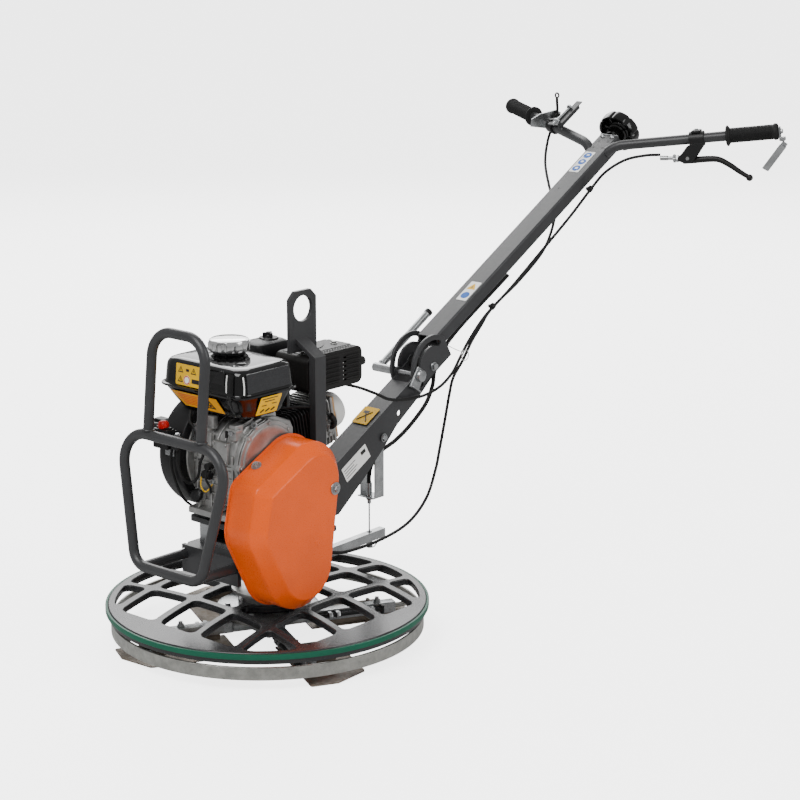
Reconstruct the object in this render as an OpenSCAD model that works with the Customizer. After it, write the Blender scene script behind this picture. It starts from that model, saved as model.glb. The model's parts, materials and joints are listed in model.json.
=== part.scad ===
// Walk-behind edging power trowel.
// Origin: on the floor, on the rotor axis. +X runs back to the operator,
// -Y is the belt side of the engine, +Z is up. Millimetres.

/* [Rotor] */
// Outer radius of the stabiliser ring round the blade arms
ring_r = 304; // [300:1:306]
// Turn of the first blade arm about the rotor axis
arm_phase = -28; // [-45:1:45]
// Thickness of a blade
blade_t = 2.5; // [2:0.5:3]
// Radius of the rotor shaft
shaft_r = 15; // [13:0.5:16]

/* [Guard ring] */
// Outer radius of the free-turning guard plate
guard_r = 309; // [307:1:312]
// Thickness of the guard plate
guard_t = 14; // [12:1:16]
// Width of the curved ribs of the guard plate
rib_w = 18; // [14:1:22]

/* [Drive] */
// Teeth of the worm wheel
wheel_teeth = 30; // [30:1:30]
// Pitch radius of the pulley on the engine
engine_pulley_r = 18; // [16:1:19]
// Pitch radius of the pulley on the worm shaft
worm_pulley_r = 50; // [46:1:52]

/* [Chassis] */
// Half width of the chassis plate
chassis_half_w = 75; // [70:1:78]
// Height of the engine stand between the chassis plate and the engine plate
stand_h = 48; // [48:1:48]
// Outer radius of the front hoop's tube
hoop_tube_r = 10; // [8:0.5:11]

/* [Handle] */
// Slope of the lower arm and the upper tube above level
handle_angle = 29.4; // [29.4:0.1:29.4]
// Width of the upper tube
tube_w = 50; // [46:1:50]
// Depth of the upper tube
tube_d = 30; // [26:1:32]
// Distance from the fold pivot to the top end of the upper tube
tube_end = 755; // [750:1:758]
// Outer radius of the handlebars
bar_r = 11; // [10:0.5:12]

/* [Hidden] */
$fn = 48;

pivot = [460, 0, 457];              // fold pivot of the handle
crank = [-70, 0, 378];              // crankshaft axis, along Y
worm = [-65, 0, 168];               // worm shaft axis, along Y
yoke_pivot = [55, 0, 112.3];        // yoke lever pivot, along Y
idler_pivot = [-131, 0, 337];       // idler arm pivot, along Y
clamp_at = [-47, 0, 15];            // clamp bolt, seen from the pivot in the handle's frame
plate_r = 66;                       // radius of the slotted side plates
grip_pin = [170, 0, -40];           // clutch lever pivot in the belt-side bar's frame
thumb_pin = [186, -20, 14];         // throttle lever pivot in the other bar's frame, along the bar
catch_pin = [378, 0, -17];          // catch pivot in the belt-side bar's frame
bar_root = [717, 30, 44.5];         // inner end of a handlebar in the handle's frame
bar_len = 365;                      // length of a handlebar
bar_yaw = 65.7;                     // spread of a handlebar from the handle's centre line
bar_drop = 4.94;                    // droop of a handlebar
bar_roll = 26.8;                    // turn of the bar frame that brings its levers level
run = 0.05;                         // radial clearance of a running fit
seat = 0.02;                        // radial clearance of a seated part
arm_z = 24;                         // height of the blade arm axes
plate_z = 60;                       // underside of the guard plate
deck_z = 196;                       // underside of the chassis plate
stand_z = deck_z + 8;
engine_plate_z = stand_z + stand_h;
engine_z = engine_plate_z + 20;     // base of the engine
worm_gear_r = 50;                   // pitch radius of the worm wheel
tank_neck = [-68, 24];              // filler neck, seen from above
cyl_tilt = 10;                      // slope of the engine's cylinder
paint = [0.22, 0.22, 0.23];
zinc = [0.72, 0.74, 0.72];
black = [0.08, 0.08, 0.08];
cast = [0.62, 0.62, 0.6];

module box(lo, hi) { translate(lo) cube(hi - lo); }
module rod(p, q, r) {
  v = q - p;
  translate(p) rotate([0, acos(v.z / norm(v)), atan2(v.y, v.x)]) cylinder(h = norm(v), r = r);
}
module along_y(x, z, y0, y1, r) { translate([x, y0, z]) rotate([-90, 0, 0]) cylinder(h = y1 - y0, r = r); }
// Cable of straight lengths that stop just short of each bend.
module strand(pts, r) {
  for (i = [1:len(pts) - 1]) {
    u = (pts[i] - pts[i - 1]) / norm(pts[i] - pts[i - 1]);
    rod(pts[i - 1] + u * (i == 1 ? 0 : r), pts[i] - u * (i == len(pts) - 1 ? 0 : r), r);
  }
}
// Upright slab of an XZ outline between two Y planes.
module slab_y(y0, y1) { translate([0, y1, 0]) rotate([90, 0, 0]) linear_extrude(y1 - y0) children(); }
module round_rect(x, y, r) {
  square([x, y - 2 * r], center = true);
  square([x - 2 * r, y], center = true);
  for (i = [-1, 1], j = [-1, 1]) translate([i * (x / 2 - r), j * (y / 2 - r)]) circle(r);
}
module ring(r_out, r_in, h) { difference() { cylinder(h = h, r = r_out); translate([0, 0, -1]) cylinder(h = h + 2, r = r_in); } }
// Tube bent in its own XY plane through rounded corners, as lengths and bends a hair apart.
module bent_tube(pts, bends, r) {
  n = len(pts);
  turn = [for (i = [0:n - 1]) i == 0 || i == n - 1 ? 0 :
    let (a = pts[i] - pts[i - 1], b = pts[i + 1] - pts[i])
    atan2(a.x * b.y - a.y * b.x, a.x * b.x + a.y * b.y)];
  cut = [for (i = [0:n - 1]) bends[i] * tan(abs(turn[i]) / 2)];
  unit = [for (i = [0:n - 2]) (pts[i + 1] - pts[i]) / norm(pts[i + 1] - pts[i])];
  for (i = [0:n - 2]) {
    p = pts[i] + unit[i] * cut[i];
    q = pts[i + 1] - unit[i] * cut[i + 1];
    hair = unit[i] * 0.1;
    rod([(p + hair).x, (p + hair).y, 0], [(q - hair).x, (q - hair).y, 0], r);
  }
  for (i = [1:n - 2]) {
    side = sign(turn[i]);
    p = pts[i] - unit[i - 1] * cut[i];
    centre = p + side * bends[i] * [-unit[i - 1].y, unit[i - 1].x];
    start = atan2(p.y - centre.y, p.x - centre.x);
    translate([centre.x, centre.y, 0]) rotate([0, 0, side > 0 ? start : start + turn[i]])
      rotate_extrude(angle = abs(turn[i])) translate([bends[i], 0]) circle(r);
  }
}
module on_handle() { translate(pivot) rotate([0, -handle_angle, 0]) children(); }
// Frame of a handlebar: X along the bar, Z up. side is -1 for the belt side.
module on_bar(side) {
  on_handle() translate([bar_root.x, side * bar_root.y, bar_root.z])
    rotate([0, bar_drop, side * bar_yaw]) rotate([side * bar_roll, 0, 0]) children();
}
// Frame of the engine's cylinder: X along the bore, away from the crankshaft.
module on_cylinder() { translate([crank.x, -10, crank.z]) rotate([0, -cyl_tilt, 0]) children(); }

// ---- chassis ----
module chassis_plate() {
  color(paint) {
    difference() {
      translate([-11, 0, deck_z]) linear_extrude(8) round_rect(270, 2 * chassis_half_w, 12);
      for (x = [-90, 40], y = [-50, 50]) translate([x, y, deck_z - 1]) cylinder(h = 10, r = 5.5);
    }
    difference() {
      box([-154, -chassis_half_w, 150], [-146, chassis_half_w, deck_z + 8]);
      for (y = [-68, 68]) rod([-160, y, 185.8], [-140, y, 185.8], hoop_tube_r + 0.6);
    }
  }
}
module front_hoop() {
  color(paint) {
    translate([-261, 0, 187]) rotate([0, 5.7, 0]) rotate([90, 0, 90]) {
      bent_tube([[0, 0], [88, 0], [145, 250], [-145, 250], [-88, 0], [-0.5, 0]], [0, 35, 55, 55, 35, 0], hoop_tube_r);
      bent_tube([[70, 260.2], [70, 447], [-70, 447], [-70, 260.2]], [0, 48, 48, 0], hoop_tube_r);
    }
    for (y = [-68, 68]) rod([-246, y, 186.5], [-104, y, 185.5], hoop_tube_r);
  }
}
module engine_stand() {
  color(zinc) translate([0, 0, stand_z]) difference() {
    translate([-37.5, -5, 0]) linear_extrude(stand_h) round_rect(175, 130, 8);
    translate([-37.5, -5, 4]) linear_extrude(stand_h - 8) round_rect(167, 122, 5);
    box([-130, -40, 10], [-118, 30, 38]);
  }
}
module engine_plate() {
  color(paint) {
    translate([-48, -6, engine_plate_z]) linear_extrude(10) round_rect(197, 136, 10);
    for (y = [-60, 20]) box([-140, y, engine_plate_z + 10], [20, y + 24, engine_z]);
  }
}
module lifting_bail() {
  color(paint) {
    box([62, -chassis_half_w + 1, stand_z], [92, -58, 550]);
    translate([62, 0, 0]) rotate([90, 0, 90]) linear_extrude(30)
      polygon([[-74, 550], [-58, 550], [-16, 577], [-16, 595], [-24, 595], [-24, 581]]);
    difference() {
      slab_y(-24, -16) polygon([[46, 554], [120, 554], [120, 657], [105, 672], [61, 672], [46, 657]]);
      along_y(83, 637, -30, -10, 25);
    }
  }
}

// ---- gearbox ----
module gearbox_housing() {
  color(cast) difference() {
    union() {
      translate([-20, 0, 140]) linear_extrude(50) round_rect(160, 124, 10);
      along_y(worm.x, worm.z, -76, -60, 21.5);
    }
    translate([0, 0, 153]) cylinder(h = 40, r = 55);
    box([-86, -50, 152], [0, 50, 191]);
    translate([0, 0, 141]) cylinder(h = 13, r = 26 + seat);
    translate([0, 0, 139]) cylinder(h = 3, r = 20);
    along_y(worm.x, worm.z, -77, 56, 16 + seat);
  }
}
module gearbox_lid() {
  color(cast) {
    translate([-20, 0, 190]) linear_extrude(deck_z - 190) round_rect(160, 124, 10);
    translate([0, 0, 181]) ring(30, 24 + seat, 9);
  }
}
module bearings() {
  color("silver") {
    translate([0, 0, 141.1]) ring(26, shaft_r + run, 11.5);
    translate([0, 0, 181]) ring(24, shaft_r + run, 8.9);
    for (y = [-74, 40]) translate([worm.x, y, worm.z]) rotate([-90, 0, 0]) ring(16, 9 + run, 12);
    for (y = [-72, 28]) translate([crank.x, y, crank.z]) rotate([-90, 0, 0]) ring(26, 12.5 + run, 14);
  }
}
module ring_carrier() {
  color(cast) {
    for (a = [60, 120, 240, 300]) rotate(a) translate([60, 0, 98]) cylinder(h = 42, r = 7);
    translate([0, 0, 92]) ring(70, 36, 6);
    translate([0, 0, 55.5]) ring(48, 36, 37);
    translate([0, 0, 50.5]) ring(54, 36, 5.1);
  }
}
module yoke_bracket() {
  color(paint) {
    for (s = [-1, 1]) difference() {
      translate([0, s * 46, 0]) box([45, -4, 100], [65, 4, 136]);
      along_y(yoke_pivot.x, yoke_pivot.z, -60, 60, 6 + seat);
    }
    box([40, -50, 135], [66, 50, 139.9]);
  }
  color(zinc) along_y(yoke_pivot.x, yoke_pivot.z, -53, 53, 6);
}

// ---- belt drive ----
module cover_outline(y0, y1, inset) {
  for (c = [[-32, 342, 77], [-150, 337, 28], [-128, 270, 64], [-62, 187, 85]])
    translate([c.x, y0, c.y]) rotate([-90, 0, 0]) cylinder(h = y1 - y0, r = c.z - inset, $fn = 32);
}
// Places a cover bolt with X out of the cover: one in the face, one in the slanted top wall.
module at_cover_bolts() {
  translate([12, -170, 324]) rotate([0, 0, -90]) children();
  translate([-122, -97, 382.6]) rotate([0, -117, 0]) children();
}
module belt_cover() {
  color([0.9, 0.32, 0.07]) difference() {
    hull() { cover_outline(-147, -85.1, 0); cover_outline(-170, -147, 23); }
    hull() { cover_outline(-146, -84, 2.5); cover_outline(-167.5, -147, 24.5); }
    at_cover_bolts() rod([-10, 0, 0], [2, 0, 0], 4.2);
  }
}
module belt_back_plate() {
  color(paint) difference() {
    hull() cover_outline(-85, -82.1, 0);
    along_y(crank.x, crank.z, -90, -80, 30);
    along_y(worm.x, worm.z, -90, -80, 26);
  }
  color(zinc) along_y(idler_pivot.x, idler_pivot.z, -112, -85, 6);
}
module cover_bolts() {
  color(zinc) at_cover_bolts() {
    rod([0.5, 0, 0], [2.5, 0, 0], 10.5);
    rod([2.5, 0, 0], [8, 0, 0], 6.5, $fn = 6);
    rod([-8, 0, 0], [2, 0, 0], 4);
  }
}
// Belt outline wrapped round both pulleys, grown by g.
module belt_outline(g) {
  d = crank - worm;
  gap = norm([d.x, d.z]);
  lean = asin((worm_pulley_r - engine_pulley_r) / gap);
  line = atan2(d.z, d.x);
  translate([worm.x, worm.z]) rotate(line) {
    circle(worm_pulley_r + g);
    translate([gap, 0]) circle(engine_pulley_r + g);
    polygon([for (s = [1, -1], e = s > 0 ? [0, 1] : [1, 0])
      let (r = (e == 0 ? worm_pulley_r : engine_pulley_r) + g)
      [e * gap + r * sin(lean), s * r * cos(lean)]]);
  }
}
module drive_belt() {
  color(black) slab_y(-134.5, -125.5) difference() { belt_outline(5); belt_outline(0.3); }
}
module pulley(r, y_mid, bore) {
  translate([0, y_mid, 0]) rotate([-90, 0, 0]) difference() {
    union() {
      translate([0, 0, -8]) cylinder(h = 3, r = r + 5);
      translate([0, 0, -5]) cylinder(h = 10, r = r);
      translate([0, 0, 5]) cylinder(h = 3, r = r + 5);
    }
    translate([0, 0, -9]) cylinder(h = 18, r = bore);
  }
}
// Single-start worm: an off-centre round twisted along Y.
module worm_shaft() {
  lead = 2 * PI * worm_gear_r / wheel_teeth;
  color(zinc) translate(worm) {
    rotate([-90, 0, 0]) {
      translate([0, 0, -135]) cylinder(h = 102, r = 9);
      translate([0, 0, 33]) cylinder(h = 20, r = 9);
      translate([0, 0, -34]) rotate(360 * 34 / lead) linear_extrude(68, twist = 360 * 68 / lead, slices = 156, $fn = 24)
        translate([2, 0]) circle(12);
    }
    pulley(worm_pulley_r, -130, 8.9);
  }
}
module crankshaft() {
  color(zinc) translate(crank) {
    rotate([-90, 0, 0]) {
      translate([0, 0, -140]) cylinder(h = 237, r = 12.5);
      for (z = [-34, 6]) translate([0, 0, z]) cylinder(h = 8, r = 36);
      translate([20, 0, -27]) cylinder(h = 34, r = 11);
      translate([0, 0, 52]) cylinder(h = 16, r = 86);
    }
    pulley(engine_pulley_r, -130, 12.4);
  }
}
module idler_arm() {
  color(zinc) {
    difference() {
      union() { box([idler_pivot.x - 10, -110, 272], [idler_pivot.x + 10, -104, 337]); along_y(idler_pivot.x, 337, -111.5, -86, 10); }
      along_y(idler_pivot.x, idler_pivot.z, -120, -80, 6 + run);
    }
    along_y(idler_pivot.x, 275, -138, -104, 6);
    translate([idler_pivot.x, 0, 275]) pulley(16, -130, 5.9);
  }
}

// ---- engine ----
module crankcase() {
  color(cast) difference() {
    union() {
      box([-165, -70, engine_z], [25, 44, engine_z + 12]);
      box([-140, -66, engine_z + 10], [2, 44, crank.z]);
      along_y(crank.x, crank.z, -74, 44, 78);
      on_cylinder() translate([40, 0, 0]) rotate([0, 90, 0]) cylinder(h = 38, r = 50);
    }
    along_y(crank.x, crank.z, -58, 28, 66);
    along_y(crank.x, crank.z, -75, 45, 26 + seat);
    on_cylinder() rotate([0, 90, 0]) cylinder(h = 78, r = 36);
  }
}
module engine_side_cover() {
  color(cast) difference() {
    union() {
      along_y(crank.x, crank.z, -79, -74, 78);
      for (i = [0:7]) translate([crank.x + 71 * cos(45 * i), 0, crank.z + 71 * sin(45 * i)]) along_y(0, 0, -81.9, -78, 5);
    }
    along_y(crank.x, crank.z, -90, -70, 20);
  }
}
module finned_cylinder() {
  color(black) on_cylinder() difference() {
    union() {
      translate([78.6, 0, 0]) rotate([0, 90, 0]) cylinder(h = 76.4, r = 42);
      for (x = [82:10:150]) translate([x, 0, 0]) rotate([0, 90, 0]) linear_extrude(3) round_rect(100, 94, 14);
    }
    translate([70, 0, 0]) rotate([0, 90, 0]) cylinder(h = 90, r = 34);
  }
}
module cylinder_head() {
  color(cast) on_cylinder() {
    translate([155.1, 0, 0]) rotate([0, 90, 0]) linear_extrude(56) round_rect(76, 76, 12);
    for (x = [158:10:198]) translate([x, 0, 0]) rotate([0, 90, 0]) linear_extrude(3) round_rect(100, 94, 14);
  }
}
module rocker_cover() {
  color("silver") on_cylinder() hull() {
    translate([211.2, 0, 0]) rotate([0, 90, 0]) cylinder(h = 30, r = 38, $fn = 32);
    translate([241, 0, 0]) rotate([0, 90, 0]) cylinder(h = 22, r = 24, $fn = 32);
  }
}
// Outside of the tank shell, or its inside when the skin is given.
module tank_space(skin) {
  translate([-83.5, 11, 492 + skin]) linear_extrude(67 - 2 * skin) round_rect(153 - 2 * skin, 216 - 2 * skin, 20 - skin);
  translate([-83.5, 11, 540]) linear_extrude(26 - skin) round_rect(139 - 2 * skin, 202 - 2 * skin, 20 - skin);
}
module fuel_tank() {
  color(black) difference() {
    union() {
      tank_space(0);
      translate([-83.5, 11, 513]) linear_extrude(4) round_rect(167, 230, 34);
      translate([-83.5, -25, 478]) linear_extrude(18) round_rect(110, 116, 15);
    }
    tank_space(2.5);
    translate([tank_neck.x, tank_neck.y, 550]) cylinder(h = 30, r = 22);
  }
}
module fuel_cap() {
  color("silver") translate([tank_neck.x, tank_neck.y, 0]) {
    translate([0, 0, 566.2]) cylinder(h = 4, r = 34);
    translate([0, 0, 570]) cylinder(h = 30, r = 38);
    translate([0, 0, 556]) cylinder(h = 12, r = 20);
  }
}
module muffler() {
  color("dimgray") {
    along_y(136, 512, -52, 20, 31);
    rod([130, -20, 469], [133, -20, 490], 12);
  }
}
module muffler_guard() {
  color(black) {
    difference() {
      slab_y(-57, 30) translate([136.5, 512]) round_rect(153, 74, 14);
      slab_y(-54, 27) translate([136.5, 512]) round_rect(147, 68, 11);
      for (z = [486:8:534]) box([108, -70, z], [205, -50, z + 2]);
      box([115, -40, 470], [155, 0, 480]);
    }
    rod([212.5, -20, 512], [227, -20, 511], 8);
  }
}
// Air cleaner box and wing knob, with the carburettor and its intake pipe below.
module air_intake() {
  color(black) {
    translate([78, 76, 490]) linear_extrude(72) round_rect(88, 60, 12);
    translate([90, 76, 561]) cylinder(h = 14, r = 13);
  }
  color(cast) {
    box([60, 48, 440], [110, 96, 470]);
    rod([85, 70, 469], [85, 70, 490.5], 18);
    rod([90, 40.5, 455], [90, 49, 455], 14);
  }
}
// Fan shroud, with the stop switch's box beside it.
module fan_shroud() {
  color(black) difference() {
    union() {
      along_y(crank.x, crank.z, 46, 110, 110);
      box([crank.x, 46, 300], [60, 60, 480]);
    }
    along_y(crank.x, crank.z, 49, 107, 106);
    along_y(crank.x, crank.z, 40, 50, 90);
    along_y(crank.x, crank.z, 105, 112, 62);
  }
  color(black) difference() {
    box([-208, 52, 400], [-183, 92, 440]);
    box([-201 - run, 60 - run, 435.5], [-190 + run, 84 + run, 441]);
  }
}
module recoil_housing() {
  color(black) difference() {
    along_y(crank.x, crank.z, 110.1, 147, 76);
    along_y(crank.x, crank.z, 109, 143, 72);
    for (a = [0:30:330]) translate([crank.x, 0, crank.z]) rotate([0, a, 0]) along_y(52, 0, 140, 150, 8);
    rod([crank.x - 200, 126, 430], [crank.x, 126, 430], 5);
  }
}
module starter_handle() {
  color(black) {
    rod([-158, 113, 430], [-158, 139, 430], 9);
    rod([-152, 126, 430], [-27, 126, 430], 2);
  }
}
module stop_switch() { color("red") box([-201, 60, 439], [-190, 84, 447]); }

// ---- rotor ----
module rotor_shaft() {
  color(zinc) translate([0, 0, 12]) cylinder(h = 177.5, r = shaft_r);
}
module worm_wheel() {
  tip = worm.x * -1 - 12 - 0.6;
  color([0.75, 0.6, 0.3]) translate([0, 0, 158]) difference() {
    linear_extrude(20) polygon([for (i = [0:wheel_teeth * 8 - 1])
      let (a = i * 360 / (wheel_teeth * 8)) (tip - 2 * cos(wheel_teeth * (a - 180))) * [cos(a), sin(a)]]);
    translate([0, 0, -1]) cylinder(h = 22, r = shaft_r + seat);
  }
}
module spider_hub() {
  color(zinc) difference() {
    union() {
      translate([0, 0, 12]) cylinder(h = 24, r = 34);
      for (i = [0:3]) rotate(arm_phase + 90 * i) rod([30, 0, arm_z], [74, 0, arm_z], 12.9);
    }
    translate([0, 0, 11]) cylinder(h = 30, r = shaft_r + seat);
    for (i = [0:3]) rotate(arm_phase + 90 * i) rod([34, 0, arm_z], [80, 0, arm_z], 9 + run);
  }
}
module stabiliser_ring() {
  color(zinc) {
    translate([0, 0, arm_z - 5]) ring(ring_r, ring_r - 5, 25);
    for (i = [0:3]) rotate(arm_phase + 90 * i) rod([246, 0, arm_z], [ring_r - 3, 0, arm_z], 5);
  }
}
// Blade arm i with its blade, riser and adjusting screw; it tilts about its own length.
module blade_arm(i) {
  rotate(arm_phase + 90 * i) {
    color(zinc) {
      difference() {
        union() { rod([35, 0, arm_z], [76, 0, arm_z], 9); box([75, -11, arm_z - 11], [262, 11, arm_z + 11]); }
        rod([244, 0, arm_z], [264, 0, arm_z], 5 + run);
      }
      box([77, -34, 27], [93, -11, 34]);
      for (x = [180, 230]) translate([x, 0, arm_z + 11]) cylinder(h = 6, r = 7, $fn = 6);
    }
    color(black) translate([85, -25, 0]) {
      translate([0, 0, 34]) cylinder(h = 4.3, r = 6);
      translate([0, 0, 38.2]) sphere(r = 6);
    }
    color([0.35, 0.31, 0.25]) {
      linear_extrude(blade_t) polygon([[85, -14], [304, -14], [304, 40], [266, 106], [100, 106], [85, 90]]);
      translate([0, 0, blade_t]) box([100, -11, 0], [258, 11, arm_z - 11 - blade_t]);
    }
  }
}
module blade_arm_1() { blade_arm(0); }
module blade_arm_2() { blade_arm(1); }
module blade_arm_3() { blade_arm(2); }
module blade_arm_4() { blade_arm(3); }
module thrust_sleeve() {
  color(zinc) difference() {
    union() {
      translate([0, 0, 44.6]) cylinder(h = 5, r = 92);
      translate([0, 0, 49]) cylinder(h = 53, r = 28);
      translate([0, 0, 101]) cylinder(h = 5, r = 33);
    }
    translate([0, 0, 40]) cylinder(h = 70, r = shaft_r + run);
  }
}

// ---- guard ring ----
module guard_plate() {
  pitch = 108; first = -96; bow = 770; middle = 60;
  module ribs() {
    for (k = [0:3]) translate([first + pitch * k - bow, middle]) difference() {
      circle(bow + rib_w / 2, $fn = 90); circle(bow - rib_w / 2, $fn = 90);
    }
  }
  color(paint) {
    translate([0, 0, plate_z]) linear_extrude(guard_t) difference() {
      circle(guard_r);
      difference() {
        intersection() { circle(guard_r - 15); translate([-238, -238]) square(600); }
        ribs();
        rotate(45) mirror([0, 1]) rotate(-45) ribs();
        circle(58);
      }
      circle(48 + run);
    }
  }
  color("silver") translate([0, 0, 56]) difference() {
    cylinder(h = 4, r = 100);
    translate([0, 0, -1]) cylinder(h = 6, r = 48 + run);
  }
}
module guard_band() {
  color([0.08, 0.45, 0.3]) translate([0, 0, plate_z + 2]) ring(guard_r + 5, guard_r + seat, 10);
}

// ---- pitch mechanism ----
module yoke_lever() {
  color(zinc) difference() {
    union() {
      for (s = [-1, 1]) translate([0, s * 34, 0]) box([-8, -4, 108], [70, 4, 121]);
      for (s = [-1, 1]) translate([0, s * 26, 0]) along_y(0, yoke_pivot.z, -8, 8, 6);
      box([66, -38, 108], [90, 38, 130]);
      slab_y(-8, 8) polygon([[85, 110], [336, 118], [336, 136], [85, 130]]);
    }
    along_y(yoke_pivot.x, yoke_pivot.z, -60, 60, 6 + run);
    translate([296, 0, 100]) cylinder(h = 50, r = 5.5);
  }
}
module pitch_wire() {
  color(zinc) translate([296, 0, 0]) {
    translate([0, 0, 100]) cylinder(h = 128, r = 1.5);
    translate([0, 0, 103]) cylinder(h = 12, r = 7);
  }
}
module cable_bracket() {
  color(zinc) difference() {
    union() {
      for (s = [-1, 1]) translate([0, s * 19.3, 0]) box([291, -1.4, 210], [318, 1.4, 330]);
      box([284, -20.7, 210], [318, 20.7, 213]);
      for (s = [-1, 1]) along_y(310, 336, s * 19.3 - 1.4, s * 19.3 + 1.4, 15);
    }
    along_y(310, 336, -40, 40, 5 + seat);
    translate([296, 0, 205]) cylinder(h = 12, r = 6);
  }
}

// ---- lower arm and fold joint ----
module arm_side() {
  top = [for (x = [58, 400]) [x, 457 + (x - 460) * tan(handle_angle) + 15]];
  polygon([[58, stand_z], top[0], top[1], [425, 402], [354, 354], [313, 314], [250, 260], [178, 205]]);
  translate([pivot.x, pivot.z]) { circle(20); rotate(handle_angle) translate([clamp_at.x, clamp_at.z]) circle(11); }
  polygon([[400, 438], [418, 450], [462, 476.5], [472, 441], [425, 402]]);
}
module lower_arm() {
  color(paint) difference() {
    union() {
      for (y = [-25, 21]) slab_y(y, y + 4) arm_side();
      slab_y(-25, 25) polygon([for (p = [[58, 0], [392, 0], [392, -4], [58, -4]])
        [p.x, 457 + (p.x - 460) * tan(handle_angle) + 15 + p.y]]);
      box([58, -25, stand_z], [66, 25, 240]);
    }
    on_handle() { along_y(0, 0, -50, 50, 8 + seat); along_y(clamp_at.x, clamp_at.z, -50, 50, 5 + run); }
    along_y(310, 336, -40, 40, 5 + seat);
    along_y(360, 377, -40, 40, 6);
  }
}
module joint_bolts() {
  color(zinc) {
    on_handle() {
      along_y(0, 0, -38, 38, 8);
      for (y = [-38, 32]) along_y(0, 0, y, y + 6, 13, $fn = 6);
      difference() {
        translate([clamp_at.x, 0, clamp_at.z]) rotate([0, 62, 0]) box([-14, -35, -22], [14, -31.7, 14]);
        along_y(clamp_at.x, clamp_at.z, -40, -30, 5 + run);
      }
    }
    along_y(310, 336, -32, 32, 5);
    for (y = [-33, 28.1]) along_y(310, 336, y, y + 4.9, 9, $fn = 6);
  }
}
module clamp_lever() {
  on_handle() {
    color(zinc) { along_y(clamp_at.x, clamp_at.z, -44, 56, 5); along_y(clamp_at.x, clamp_at.z, -43, -35.3, 9, $fn = 6); }
    color(zinc) { along_y(clamp_at.x, clamp_at.z, 33, 88, 9); rod([-45, 75, 15], [128, 75, 18], 7.5); }
    color(black) rod([128, 75, 18], [138, 75, 18.2], 8.4);
  }
}
module hinge_plates() {
  color(paint) on_handle() difference() {
    for (y = [-31.4, 25.4]) slab_y(y, y + 6) difference() {
      intersection() { circle(plate_r); translate([-plate_r, -15]) square([plate_r + 57, 2 * plate_r]); }
      circle(8 + run);
    }
    for (y = [-32, 24]) translate([0, y, 0]) rotate([90, -40.2, 0]) mirror([0, 0, 1])
      rotate_extrude(angle = 151.2) translate([43.3, 0]) square([11.4, 8]);
  }
}
module upper_tube() {
  color(paint) on_handle() {
    difference() {
      box([40, -tube_w / 2, 14], [tube_end, tube_w / 2, 14 + tube_d]);
      box([43, -tube_w / 2 + 3, 17], [tube_end + 1, tube_w / 2 - 3, 11 + tube_d]);
      for (x = [708, 732], y = [-12, 12]) translate([x, y, 30]) cylinder(h = 30, r = 3.3);
      for (y = [-13, 13]) translate([749, y, 30]) cylinder(h = 30, r = 3);
    }
    difference() {
      box([tube_end - 14, -tube_w / 2 + 3.1, 17.1], [tube_end - 2, tube_w / 2 - 3.1, 10.9 + tube_d]);
      rod([tube_end - 30, 0, 30], [tube_end + 10, 0, 30], 5 + run);
      for (y = [-13, 13]) translate([749, y, 30]) cylinder(h = 30, r = 3);
    }
  }
}
module handlebars() {
  color(paint) for (s = [-1, 1]) difference() {
    on_bar(s) rod([0, 0, 0], [bar_len, 0, 0], bar_r);
    on_bar(s) rod([-1, 0, 0], [bar_len - 2, 0, 0], bar_r - 2);
    on_handle() box([600, -tube_w / 2 - 0.1, 10], [760, tube_w / 2 + 0.1, 14.1 + tube_d]);
  }
  color(zinc) on_handle() for (y = [-13, 13]) {
    translate([749, y, 36]) cylinder(h = 9, r = 2.95);
    translate([749, y, 14.1 + tube_d]) cylinder(h = 4, r = 5.5);
  }
}
module grips() {
  color(black) for (s = [-1, 1]) on_bar(s) difference() {
    union() {
      rod([258, 0, 0], [262, 0, 0], 22);
      rod([260, 0, 0], [bar_len + 4, 0, 0], 15.5);
    }
    rod([250, 0, 0], [bar_len + 0.1, 0, 0], bar_r + seat);
  }
}
module pitch_knob() {
  on_handle() {
    color(black) {
      rod([785, 0, 30], [808, 0, 30], 36);
      for (a = [0:60:300]) translate([785, 0, 30]) rotate([a, 0, 0]) rod([0, 33, 0], [23, 33, 0], 12);
    }
    color(zinc) rod([560, 0, 30], [790, 0, 30], 5);
  }
}
module pitch_nut() {
  color(zinc) on_handle() difference() {
    box([590, -12, 19], [606, 12, 41]);
    rod([580, 0, 30], [620, 0, 30], 5 + run);
  }
}

// ---- controls ----
module clutch_lever() {
  color(black) on_bar(-1) {
    difference() { rod(grip_pin - [0, 8, 0], grip_pin + [0, 8, 0], 9); rod(grip_pin - [0, 12, 0], grip_pin + [0, 12, 0], 4 + run); }
    rod([176, 0, -45], [236, 0, -50], 5);
    rod([234, 0, -49], [292, -4, -88], 4.6);
    translate([298, -5, -93]) sphere(r = 8);
  }
}
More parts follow.
